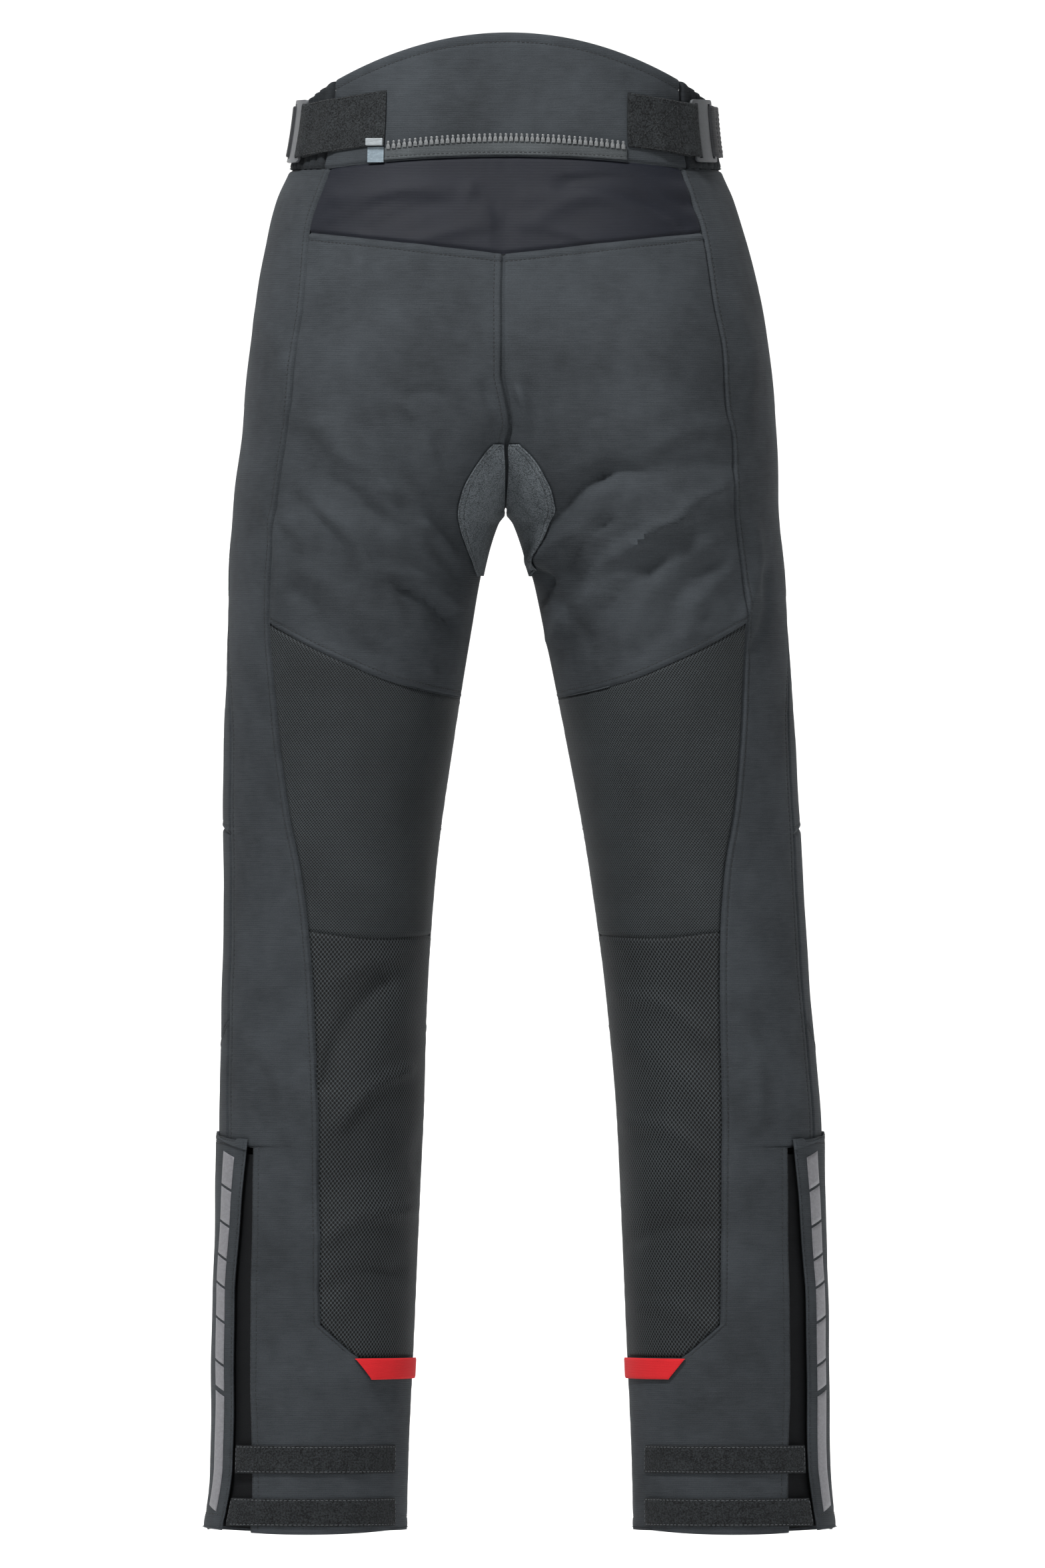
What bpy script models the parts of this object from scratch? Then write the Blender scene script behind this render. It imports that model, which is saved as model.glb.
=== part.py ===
"""Motorcycle trousers, filled out as worn, open at the waist and at both hems.

The frame is the wearer's: +Z up, +Y the wearer's front, +X the wearer's right. The origin is the
middle of the waist at the height of the waist seam. Sizes in this file are millimetres, and the
meshes are made in metres.

Every panel is a patch of one surface. A place on it has a side (1 right, -1 left), a girth u and
a height z. The girth is 0 at the centre back, or at the inseam on a leg, 0.5 at the outer side,
and 1 at the centre front, or at the inseam again. The surface is the outside of the cloth.
"""

import math

import bmesh
import bpy
import numpy as np
from mathutils import Vector

METRE = 0.001

# Cloth and gaps
CLOTH = 1.6
TRIM = 1.2
SEAM_GAP = 0.3
LAY = 0.7

# Steps between the rows of a panel, on the body and on the plain lower leg, and how near a shared
# row may come to a panel's own edge
CELL = 30.0
LONG_CELL = 46.0
ROW_CLEAR = 2.5

# Heights
KIDNEY_RISE = 89.0
FORK_TOP = -150.0
FORK = -252.0
HEM = -987.0
ZIP_TOP = -706.0
MESH_END = -862.0
MESH_CORNER = -838.0

# Heights of the rows that all panels share, so that two panels meet point to point at a seam
ROW_STOPS = (-8.0, -54.0, -102.0, FORK_TOP, -170.0, -189.0, -207.0, -222.0, -235.0, -244.0,
             -249.5, FORK, -257.0, -265.0, -278.0, -294.0, -312.0, -335.0, -378.0, -420.0, -486.0,
             -556.0, -620.0, ZIP_TOP, -714.0, MESH_CORNER, -850.0, MESH_END, -877.0, -925.0,
             -945.0, -963.0, -980.0, HEM)

# Half widths seen from behind
KIDNEY_HALF = 127.0
CORNER_X = 116.0

# The waist's ribbed elastic side: its front end as a girth, its ribs and the points across a rib
RIBBED_TO = 0.64
RIBS = 16
POINTS_A_RIB = 3

# Waist adjusters: how far round from the outermost point, towards the back, each ring's middle is
RING_PLACE = {1: 50.0, -1: 28.0}
RING_WIDTH = 30.0
RING_HEIGHT = 46.0
RING_BAR = 4.0
RING_SLOT = 3.5
RING_END = 3.0
RING_THICK = 2.0
STRAP_HEIGHT = 39.0
STRAP_MIDDLE = 18.5
STRAP_END = 120.7
STRAP_RISE = {1: 0.14, -1: 0.12}
STRAP_SLANT = 1.5
RIBS_END = 74.0
RIB_RISE = 1.2
STRAP_CLEAR = 0.6

# How far up and down the seat seam's curve is averaged for the cloth beside it, and the part of a
# section's inner quarter over which that takes effect
SOFT_REACH = 16
SOFT_FROM = 0.3

# Columns of the seat panels, closer together towards the inner thigh
SEAT_COLUMNS = np.linspace(0, 1, 14) ** 1.35

# The half of the connecting zip behind the waist
ZIP_HALF = 86.5
ZIP_TAPE = 12.0
ZIP_TEETH = 6.0
ZIP_THICK = 2.4

# Sections of the right half, from the waist down. Each is a closed or open ring through an inner,
# back, outer and front point, and turn is the ring's angle at its inner ends: 0 across the body,
# 90 on a leg.
SECTION_COLUMNS = (
    "z", "inner", "inner_y", "outer", "outer_y", "back_x", "back_y", "front_x", "front_y", "turn",
)
SECTIONS = (
    (100, 0.0, -8, 145.0, 0, 40, -99, 40, 100, 0),
    (42, 0.0, -8, 147.5, 0, 42, -102, 42, 102, 0),
    (0, 0.0, -8, 152.5, 0, 46, -105, 44, 104, 0),
    (-30, 0.0, -8, 164.5, -2, 54, -112, 50, 107, 0),
    (-54, 0.0, -8, 171.0, -3, 62, -118, 54, 108, 0),
    (-102, 0.0, -8, 181.0, -6, 74, -128, 62, 107, 0),
    (-150, 0.0, -8, 188.0, -9, 84, -133, 72, 105, 6),
    (-200, 0.0, -8, 193.0, -12, 92, -132, 83, 102, 28),
    (-232, 0.0, -8, 195.5, -13, 98, -129, 91, 100, 60),
    (-252, 0.5, -8, 196.5, -14, 101, -126, 97, 99, 88),
    (-262, 7.0, -8, 197.0, -14, 103, -125, 99, 98, 90),
    (-294, 17.0, -8, 199.5, -12, 106, -119, 104, 97, 90),
    (-342, 26.5, -6, 202.0, -10, 112, -111, 112, 94, 90),
    (-414, 39.5, -3, 206.0, -6, 121, -99, 122, 91, 90),
    (-510, 54.8, 2, 208.3, 2, 131, -83, 131, 90, 90),
    (-606, 64.5, 3, 212.0, 4, 138, -79, 138, 87, 90),
    (-702, 70.0, -3, 216.5, -3, 143, -84, 143, 77, 90),
    (-846, 76.3, -4, 219.5, -4, 148, -80, 148, 71, 90),
    (-942, 80.5, -4, 221.5, -4, 151, -78, 151, 69, 90),
    (-990, 81.5, -4, 226.0, -4, 153, -77, 153, 69, 90),
)

# How far the garment's middle stands to the wearer's right of the origin at each height
DRIFT = ((100, 0.0), (0, -2.5), (-30, -3.0), (-126, 0.0), (-198, 0.0), (-252, -2.5),
         (-342, -1.0), (-414, 0.5), (-510, 2.6), (-606, 5.5), (-702, 8.0), (-990, 7.8))

# The side panel's back edge, as (z, x) seen from behind: past the yoke, the seat, the thigh mesh
# and the calf mesh
SIDE_SEAM = ((20, 121.0), (-8, 127.0), (-54, 142.0), (-108, 148.5), (-140, 154.0), (-179, 156.5),
             (-205, 161.5), (-248, 164.5), (-335, 172.0), (-365, 170.5), (-422, 166.0),
             (-469, 160.5), (-513, 152.5), (-557, 148.0), (-606, 146.0), (-838, 143.5))

# The seam between side panel and front panels, as (z, u)
OUTER_SEAM = ((40, 0.54), (-200, 0.525), (-330, 0.50), (-420, 0.445), (-706, 0.435))

# Seams that run across, as (x, z) seen from behind
THIGH_SEAM = ((20, -390.0), (36, -388.0), (62, -383.0), (90, -375.0), (116, -364.0),
              (146, -350.0), (172, -335.0), (190, -322.0))
KNEE_SEAM = ((50, -558.0), (100, -561.0), (148, -556.0))

# The suede inner-thigh patch's edge, as (z, x) seen from behind
PATCH_EDGE = ((-206, 9.0), (-214, 17.0), (-226, 25.5), (-240, 32.0), (-254, 34.5),
              (-268, 32.5), (-282, 28.5), (-300, 25.0), (-314, 24.0))
PATCH_START = 2.4
# Points of the patch this near to its edge are moved onto it, so no strip of it is a sliver
SNAP = 1.5

# The largest creases, each from (x0, z0) to (x1, z1) of the world.
# face is -1 for the back and 1 for the front, rise is negative for a trough.
FOLDS = (
    # face, x0, z0, x1, z1, width, rise
    (-1, -126, -202, -74, -272, 13, 4.5),
    (-1, -104, -196, -52, -262, 12, -3.5),
    (-1, -134, -262, -86, -306, 14, 3.0),
    (-1, -76, -300, -44, -332, 12, -3.0),
    (-1, 44, -240, 98, -222, 12, -4.5),
    (-1, 24, -290, 74, -250, 12, 4.5),
    (-1, 88, -282, 144, -242, 14, 4.0),
    (-1, 26, -348, 62, -318, 12, 3.5),
    (-1, 60, -306, 108, -290, 13, -3.0),
    (-1, 3, -156, 11, -190, 9, 3.0),
    (-1, -134, -704, -80, -612, 13, 3.0),
    (-1, -130, -740, -72, -722, 12, -2.5),
    (-1, 90, -640, 136, -668, 13, 2.5),
    (1, -100, -250, -40, -214, 14, 4.0),
    (1, 44, -216, 102, -252, 14, 4.0),
    (1, -110, -290, -60, -262, 13, -3.0),
    (1, 62, -268, 112, -296, 13, -3.0),
)

# Finishes: colour, roughness, metallic
FINISHES = {
    "twill": ((0.045, 0.052, 0.057), 0.80, 0.0),
    "stretch": ((0.030, 0.033, 0.043), 0.62, 0.0),
    "mesh": ((0.030, 0.034, 0.037), 0.70, 0.0),
    "suede": ((0.062, 0.072, 0.078), 0.95, 0.0),
    "hook_loop": ((0.010, 0.011, 0.013), 0.95, 0.0),
    "elastic": ((0.020, 0.022, 0.024), 0.85, 0.0),
    "webbing": ((0.018, 0.020, 0.022), 0.70, 0.0),
    "ring_plastic": ((0.060, 0.064, 0.068), 0.40, 0.0),
    "zip_plastic": ((0.080, 0.085, 0.090), 0.45, 0.0),
    "tab_plastic": ((0.250, 0.300, 0.340), 0.25, 0.0),
    "zip_tape": ((0.050, 0.055, 0.058), 0.85, 0.0),
    "red_cloth": ((0.600, 0.030, 0.035), 0.75, 0.0),
    "snap_metal": ((0.050, 0.050, 0.052), 0.35, 1.0),
}


def smooth(table, x):
    """A curve through the table's (place, value) rows that never overshoots them."""
    rows = sorted(table)
    xs = np.array([row[0] for row in rows], float)
    ys = np.array([row[1] for row in rows], float)
    step = np.diff(xs)
    slope = np.diff(ys) / step
    tangent = np.zeros(len(xs))
    tangent[1:-1] = np.where(
        slope[1:] * slope[:-1] > 0,
        2 * slope[1:] * slope[:-1] / np.where(slope[1:] + slope[:-1] == 0, 1, slope[1:] + slope[:-1]),
        0.0,
    )
    tangent[0] = slope[0]
    tangent[-1] = slope[-1]
    x = np.clip(np.asarray(x, float), xs[0], xs[-1])
    i = np.clip(np.searchsorted(xs, x, side="right") - 1, 0, len(xs) - 2)
    t = (x - xs[i]) / step[i]
    return (
        ys[i] * (1 + 2 * t) * (1 - t) ** 2
        + tangent[i] * step[i] * t * (1 - t) ** 2
        + ys[i + 1] * t * t * (3 - 2 * t)
        + tangent[i + 1] * step[i] * t * t * (t - 1)
    )


def straight(table, x):
    """Straight runs through the table's (place, value) rows."""
    rows = sorted(table)
    return np.interp(x, [row[0] for row in rows], [row[1] for row in rows])


def section(name, z):
    column = SECTION_COLUMNS.index(name)
    return smooth([(row[0], row[column]) for row in SECTIONS], z)


def fork_curve(body_y, z):
    """The seat seam's y below the fork's top: a quarter ellipse from the body in to the fork."""
    depth = np.clip((FORK_TOP - z) / (FORK_TOP - FORK), 0, 1)
    return section("inner_y", FORK) + (body_y - section("inner_y", FORK)) * np.sqrt(1 - depth**2)


def inner_end(body_y, z):
    """The y of a half section's inner end: on the seat seam, or on the inseam of a leg."""
    return np.where(z < FORK, section("inner_y", z), fork_curve(section(body_y, z), z))


# The inner ends' y averaged over a short way up and down, which the cloth beside them follows
SOFT_HEIGHTS = np.arange(-1020.0, 121.0)
SOFT_WEIGHTS = np.hanning(2 * SOFT_REACH + 1) / np.hanning(2 * SOFT_REACH + 1).sum()
SOFT_ENDS = {
    name: np.convolve(np.pad(inner_end(name, SOFT_HEIGHTS), SOFT_REACH, mode="edge"),
                      SOFT_WEIGHTS, mode="valid")
    for name in ("back_y", "front_y")
}


def eased_end(body_y, z, beside):
    """The inner end's y for the cloth that is beside it, from 0 at the end to 1."""
    share = np.clip(beside / SOFT_FROM, 0, 1)
    share = share * share * (3 - 2 * share)
    soft = np.interp(z, SOFT_HEIGHTS, SOFT_ENDS[body_y])
    return inner_end(body_y, z) * (1 - share) + soft * share


def ring(u, z):
    """x and y of the right half's surface before its creases: four curved quarters."""
    u, z = np.broadcast_arrays(np.asarray(u, float), np.asarray(z, float))
    turn = np.radians(section("turn", z))
    back_y = section("back_y", z)
    front_y = section("front_y", z)
    inner = section("inner", z)
    quarter = np.clip(np.floor(u * 4).astype(int), 0, 3)
    t = u * 4 - quarter
    start_y = eased_end("back_y", z, t)
    end_y = eased_end("front_y", z, 1 - t)
    one, none = np.ones_like(z), np.zeros_like(z)
    corners = np.array([
        (inner, start_y),
        (section("back_x", z), back_y),
        (section("outer", z), section("outer_y", z)),
        (section("front_x", z), front_y),
        (inner, end_y),
    ])
    ways = np.array([
        (np.cos(turn), -np.sin(turn)),
        (one, none),
        (none, one),
        (-one, none),
        (-np.cos(turn), -np.sin(turn)),
    ])
    near, far = pick(corners, quarter), pick(corners, quarter + 1)
    near_way, far_way = pick(ways, quarter), pick(ways, quarter + 1)
    inner_arc = (quarter == 0) | (quarter == 3)
    fullness = np.where(inner_arc, 0.38 + 0.19 * np.sin(turn), 0.57)
    near_reach = fullness * np.abs(((far - near) * near_way).sum(0))
    far_reach = fullness * np.abs(((far - near) * far_way).sum(0))
    return (
        near * (1 - t) ** 3
        + (near + near_way * near_reach) * 3 * t * (1 - t) ** 2
        + (far - far_way * far_reach) * 3 * t * t * (1 - t)
        + far * t**3
    )


def pick(stack, index):
    """For each place, the (x, y) that its index names in the stack."""
    return np.take_along_axis(stack, index[None, None], axis=0)[0]


def crease(x, z, back, fold):
    """How far one fold lifts the cloth at each place."""
    face, x0, z0, x1, z1, width, rise = fold
    run = np.array([x1 - x0, z1 - z0], float)
    length = np.hypot(*run)
    along = ((x - x0) * run[0] + (z - z0) * run[1]) / length
    across = ((z - z0) * run[0] - (x - x0) * run[1]) / length
    past = np.maximum(np.maximum(-along, along - length), 0)
    here = back if face < 0 else 1 - back
    return rise * here * np.exp(-((across / width) ** 2) - (past / (1.6 * width)) ** 2)


def shape(side, u, z):
    """World points of the outside of the cloth."""
    side, u, z = np.broadcast_arrays(
        np.asarray(side, float), np.asarray(u, float), np.asarray(z, float)
    )
    x, y = ring(u, z)
    step = 0.004
    ahead = ring(np.minimum(u + step, 1), z)
    behind = ring(np.maximum(u - step, 0), z)
    tangent = ahead - behind
    tangent = tangent / np.maximum(np.hypot(*tangent), 1e-9)
    world_x = side * x + smooth(DRIFT, z)
    back = 1 / (1 + np.exp((u - 0.5) * 40))
    lift = sum(crease(world_x, z, back, fold) for fold in FOLDS)
    lift = lift * np.clip(np.minimum(u, 1 - u) / 0.03, 0, 1)
    x = x + tangent[1] * lift
    y = y - tangent[0] * lift
    return np.stack([side * x + smooth(DRIFT, z), y, z], -1)


def surface(side, u, z, lift=0.0):
    """Points of the surface moved out by lift, and the outward normals there."""
    step_u, step_z = 0.0025, 0.8
    high, low = np.minimum(u + step_u, 1), np.maximum(u - step_u, 0)
    along_u = shape(side, high, z) - shape(side, low, z)
    along_z = shape(side, u, z + step_z) - shape(side, u, z - step_z)
    normal = np.cross(along_u, along_z) * np.asarray(side, float)[..., None]
    normal /= np.maximum(np.linalg.norm(normal, axis=-1, keepdims=True), 1e-9)
    return shape(side, u, z) + normal * np.asarray(lift, float)[..., None], normal


def girth_at(x, z, front=False):
    """The u at which the half section at height z has this x, on the back or on the front."""
    x, z = np.broadcast_arrays(np.asarray(x, float), np.asarray(z, float))
    low, high = np.zeros_like(x), np.full_like(x, 0.5)
    for _ in range(26):
        middle = (low + high) / 2
        reached = ring(1 - middle if front else middle, z)[0] < x
        low = np.where(reached, middle, low)
        high = np.where(reached, high, middle)
    return 1 - low if front else low


def divided(stops, cell):
    """The stops with even steps of about one cell put between them."""
    places = [stops[0]]
    for start, end in zip(stops, stops[1:]):
        count = max(1, round(abs(end - start) / cell))
        places += [start + (end - start) * i / count for i in range(1, count + 1)]
    return np.array(places)


LEVELS = tuple(divided(ROW_STOPS, CELL))


def rows(top, bottom):
    """The shared rows from one height down to another, with those two as the first and last."""
    between = [z for z in LEVELS if bottom + ROW_CLEAR < z < top - ROW_CLEAR]
    return np.array([top] + between + [bottom])


def stretched(top, bottom, count):
    return np.linspace(top, bottom, count)


def patch(side, left, right, top, bottom, columns, left_rows, right_rows):
    """u and z of a grid between two edges given as u at a height and two given as z at (u, x)."""
    s = (columns if np.ndim(columns) else np.linspace(0, 1, columns + 1))[None, :]
    ends = []
    for edge, heights in ((left, left_rows), (right, right_rows)):
        heights = np.array(heights, float)
        for end, seam in ((0, top), (-1, bottom)):
            for _ in range(8):
                u = edge(heights[[end]])
                heights[end] = seam(u, ring(u, heights[end])[0])[0]
        ends.append(heights[:, None])
    even = ends[0] * (1 - s) + ends[1] * s
    last = len(even) - 1
    step = np.arange(last + 1)[:, None]
    bent_rows = min(5, last)
    from_top = np.clip(1 - step / bent_rows, 0, 1)
    from_bottom = np.clip(1 - (last - step) / bent_rows, 0, 1)
    z = even
    for _ in range(10):
        u = left(z) * (1 - s) + right(z) * s
        x = ring(u, z)[0]
        above = top(u[:1], x[:1]) - even[:1]
        below = bottom(u[-1:], x[-1:]) - even[-1:]
        z = even + above * from_top + below * from_bottom
    return side * np.ones_like(u), u, z


def across_back(edge, top, bottom, columns, heights):
    """Like patch, over both halves of the back, out to an edge given as u at a height."""
    w = np.linspace(-1, 1, 2 * columns + 1)[None, :]
    t = ((heights - heights[0]) / (heights[-1] - heights[0]))[:, None]
    z = np.broadcast_to(heights[:, None], (len(heights), w.shape[1])).astype(float)
    for _ in range(14):
        u = np.abs(w) * edge(z)
        x = ring(u, z)[0]
        z = top(u, x) * (1 - t) + bottom(u, x) * t
    return np.where(w < 0, -1.0, 1.0) * np.ones_like(u), u, z


def finish(name):
    material = bpy.data.materials.get(name)
    if material is None:
        colour, roughness, metallic = FINISHES[name]
        material = bpy.data.materials.new(name)
        material.use_nodes = True
        shader = material.node_tree.nodes["Principled BSDF"]
        shader.inputs["Base Color"].default_value = (*colour, 1.0)
        shader.inputs["Roughness"].default_value = roughness
        shader.inputs["Metallic"].default_value = metallic
    return material


def add_object(name, mesh, material):
    mesh.materials.append(finish(material))
    mesh.shade_smooth()
    mesh.set_sharp_from_angle(angle=math.radians(38))
    made = bpy.data.objects.new(name, mesh)
    bpy.context.scene.collection.objects.link(made)
    return made


def merged(grids, side):
    """One list of points, normals and outward quads from grids that share their edges."""
    points, normals, faces, index = [], [], [], {}
    for grid_points, grid_normals in grids:
        rows, columns = grid_points.shape[:2]
        place = np.zeros((rows, columns), int)
        for r in range(rows):
            for c in range(columns):
                key = tuple(np.round(grid_points[r, c], 2))
                if key not in index:
                    index[key] = len(points)
                    points.append(grid_points[r, c])
                    normals.append(grid_normals[r, c])
                place[r, c] = index[key]
        for r in range(rows - 1):
            for c in range(columns - 1):
                corners = [place[r, c], place[r + 1, c], place[r + 1, c + 1], place[r, c + 1]]
                corners = list(dict.fromkeys(corners))
                if len(corners) > 2:
                    faces.append(corners if side > 0 else corners[::-1])
    return np.array(points), np.array(normals), faces


def drawn_in(points, normals, faces, by):
    """The points with every free edge moved by this much into the sheet, and the free edges."""
    edges = {}
    for face in faces:
        for a, b in zip(face, face[1:] + face[:1]):
            edges[(a, b)] = True
    free = [(a, b) for a, b in edges if (b, a) not in edges]
    inward = {}
    for a, b in free:
        way = points[b] - points[a]
        into = np.cross(normals[a] + normals[b], way)
        into /= max(np.linalg.norm(into), 1e-9)
        inward.setdefault(a, []).append(into)
        inward.setdefault(b, []).append(into)
    moved = points.copy()
    for i, ways in inward.items():
        total = sum(ways)
        moved[i] = points[i] + total * by / max(1 + float(np.dot(ways[0], ways[-1])), 0.35)
    return moved, free


def sheet(name, grids, side, material, thick=CLOTH, gap=SEAM_GAP):
    """A wall of cloth whose outside is the grids' points, with thick of cloth behind them."""
    points, normals, faces = merged(grids, side)
    outside, free = drawn_in(points, normals, faces, gap / 2)
    inside = outside - normals * thick
    count = len(outside)
    body = bmesh.new()
    verts = [body.verts.new(p * METRE) for p in np.concatenate([outside, inside])]
    for face in faces:
        body.faces.new([verts[i] for i in face])
        body.faces.new([verts[i + count] for i in reversed(face)])
    for a, b in free:
        body.faces.new([verts[b], verts[a], verts[a + count], verts[b + count]])
    mesh = bpy.data.meshes.new(name)
    body.to_mesh(mesh)
    body.free()
    return add_object(name, mesh, material)


def side_name(stem, side):
    return f"{stem}_{'right' if side > 0 else 'left'}"


# Edges that several panels share
def side_seam(z):
    return girth_at(smooth(SIDE_SEAM, z), z)


def side_panel_edge(z):
    """The side panel's back edge down to the hem: past the mesh it turns in along the cut corner."""
    cut = straight(((MESH_CORNER, 143.5), (MESH_END, CORNER_X), (HEM, CORNER_X + 4)), z)
    return np.where(z > MESH_CORNER, side_seam(z), girth_at(cut, z))


def outer_seam(z):
    return smooth(OUTER_SEAM, z)


def zip_edge(z):
    """The side panel's front edge: the outer seam, then the folded edge beside the leg's zip."""
    folded = straight(((ZIP_TOP - 8, 0.367), (-894, 0.360), (HEM, 0.346)), z)
    return np.where(z < ZIP_TOP - 4, folded, outer_seam(z))


def shin_edge(z):
    return np.where(z < ZIP_TOP - 4, 0.50, outer_seam(z))


def flap_edge(z):
    """The back edge of the flap over the leg's zip."""
    return straight(((ZIP_TOP, 0.372), (-748, 0.3825), (-812, 0.393), (-942, 0.392), (HEM, 0.405)), z)


def centre(z):
    return np.zeros_like(z)


def front_centre(z):
    return np.ones_like(z)


def girth(u):
    return lambda z: np.full_like(z, u)


def level(height):
    return lambda u, x: np.full_like(u, height)


def waist_seam(u, x):
    return np.where(u < 0.5, -8.0 * (np.minimum(x, KIDNEY_HALF) / KIDNEY_HALF) ** 2, -8.0)


def waist_top(u, x):
    over_kidneys = KIDNEY_RISE - 35.0 * (x / 126.0) ** 2
    to_side = 53.5 - 15.5 * (x - KIDNEY_HALF) / 21.0
    to_front = 38.0 - 8.0 * np.sin(np.clip(u - 0.5, 0, 0.5) * math.pi)
    back = np.where(x < KIDNEY_HALF, over_kidneys, np.maximum(to_side, 38.0))
    return np.where(u < 0.5, back, to_front)


def yoke_seam(u, x):
    return -70.0 + 16.0 * x / 142.0


def thigh_seam(u, x):
    return smooth(THIGH_SEAM, x)


def knee_seam(u, x):
    return smooth(KNEE_SEAM, x)


def mesh_end(u, x):
    return straight(((CORNER_X, MESH_END), (143.5, MESH_CORNER)), x)


def hem(u, x):
    return HEM + 2.0 * np.cos(4 * math.pi * u)


def knee_top(u, x):
    return -486.0 + 14.0 * np.sin((u - 0.445) / 0.555 * math.pi)


def knee_bottom(u, x):
    return -620.0 - 52.0 * np.sin((u - 0.4435) / 0.5565 * math.pi)


def waistband():
    """The tall kidney panel, the ribbed elastic sides and the front band."""
    def band_foot(u, x):
        return waist_seam(u, x) + 2 * SEAM_GAP

    kidney_edge = girth(float(girth_at(KIDNEY_HALF, 20.0)))
    heights = divided((KIDNEY_RISE, 0.0), CELL)
    place = across_back(kidney_edge, waist_top, band_foot, 7, heights)
    sheet("kidney_panel", [surface(*place)], 1, "twill")
    columns = RIBS * POINTS_A_RIB
    wave = RIB_RISE * (1 - np.cos(np.linspace(0, RIBS * 2 * math.pi, columns + 1))) / 2
    for side in (1, -1):
        place = patch(side, kidney_edge, girth(RIBBED_TO), waist_top, band_foot, columns,
                      stretched(53, -8, 3), stretched(38, -8, 3))
        ribbed = surface(*place, lift=np.broadcast_to(wave, place[1].shape))
        sheet(side_name("waist_elastic", side), [ribbed], side, "elastic")
        place = patch(side, girth(RIBBED_TO), front_centre, waist_top, band_foot, 6,
                      stretched(34, -8, 3), stretched(30, -8, 3))
        sheet(side_name("waist_front", side), [surface(*place)], side, "twill")


def back_panels():
    """Yoke, seat and the two meshes of each leg, all from the centre or inseam to the side panel."""
    place = across_back(side_seam, waist_seam, yoke_seam, 8, rows(-8.0, -54.0))
    sheet("yoke", [surface(*place)], 1, "stretch")
    for side in (1, -1):
        heights = rows(-54.0, -335.0)
        at_centre = np.interp(heights, (-335, -312, FORK, FORK_TOP, -54),
                              (-390, -340, FORK, FORK_TOP, -70))
        place = patch(side, centre, side_seam, yoke_seam, thigh_seam, SEAT_COLUMNS, at_centre,
                      heights)
        sheet(side_name("seat", side), [surface(*place)], side, "twill")
        thigh_patch(side, place)
        heights = rows(-335.0, -556.0)
        place = patch(side, centre, side_seam, thigh_seam, knee_seam, 7,
                      stretched(-390, -558, len(heights)), heights)
        sheet(side_name("thigh_mesh", side), [surface(*place)], side, "mesh")
        heights = rows(-556.0, MESH_CORNER)
        place = patch(side, centre, side_seam, knee_seam, mesh_end, 7,
                      stretched(-558, MESH_END, len(heights)), heights)
        sheet(side_name("calf_mesh", side), [surface(*place)], side, "mesh")


def thigh_patch(side, seat):
    """The suede patch on the inner thigh: the seat's own places inside the patch's edge."""
    _, u, z = seat
    kept = (z[:, 0] < -205) & (z[:, 0] > -325)
    u, z = u[kept][:, :9], z[kept][:, :9]
    reach = smooth(PATCH_EDGE, z)
    first = np.count_nonzero(u < girth_at(PATCH_START + SNAP, z), axis=1) - 1
    last = np.count_nonzero(u < girth_at(reach - SNAP, z), axis=1)
    column = np.arange(u.shape[1])
    first = np.maximum(first, 0)[:, None]
    last = np.maximum(last[:, None], first + 1)
    held = np.clip(column, first, last)
    u, z, reach = (np.take_along_axis(values, held, axis=1) for values in (u, z, reach))
    u = np.where(held == first, girth_at(PATCH_START, z), u)
    u = np.where(held == last, girth_at(reach, z), u)
    place = (side * np.ones_like(u), u, z)
    patch_lift = TRIM + 1.8 * LAY
    sheet(side_name("thigh_patch", side), [surface(*place, lift=patch_lift)], side, "suede", TRIM)


def side_panel(side):
    """One cut piece from the waist down the outer side, which turns in under the calf mesh."""
    heights = rows(-8.0, HEM)
    place = patch(side, side_panel_edge, zip_edge, waist_seam, hem, 5, heights, heights)
    turn_in = place[2][:, 0] < MESH_END + 1
    heights = place[2][turn_in, 0]
    u = side_panel_edge(heights)[:, None] * np.linspace(0, 1, 6)[None, :]
    z = np.broadcast_to(heights[:, None], u.shape).copy()
    z[-1, :-1] = hem(u[-1, :-1], None)
    below_mesh = surface(side * np.ones_like(u), u, z)
    sheet(side_name("side_panel", side), [below_mesh, surface(*place)], side, "twill")


def front_panels(side):
    """Front thigh, knee and shin panels, which the photograph's side doesn't show."""
    columns = 9
    heights = rows(-8.0, -486.0)
    place = patch(side, outer_seam, front_centre, waist_seam, knee_top, columns, heights, heights)
    sheet(side_name("front_thigh", side), [surface(*place)], side, "twill")
    heights = rows(-486.0, -620.0)
    place = patch(side, outer_seam, front_centre, knee_top, knee_bottom, columns, heights, heights)
    sheet(side_name("knee_panel", side), [surface(*place)], side, "twill")
    heights = np.concatenate([rows(-620.0, ZIP_TOP), divided((ZIP_TOP - 8, HEM), LONG_CELL)])
    place = patch(side, shin_edge, front_centre, knee_bottom, hem, columns, heights, heights)
    sheet(side_name("shin_panel", side), [surface(*place)], side, "twill")


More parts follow.
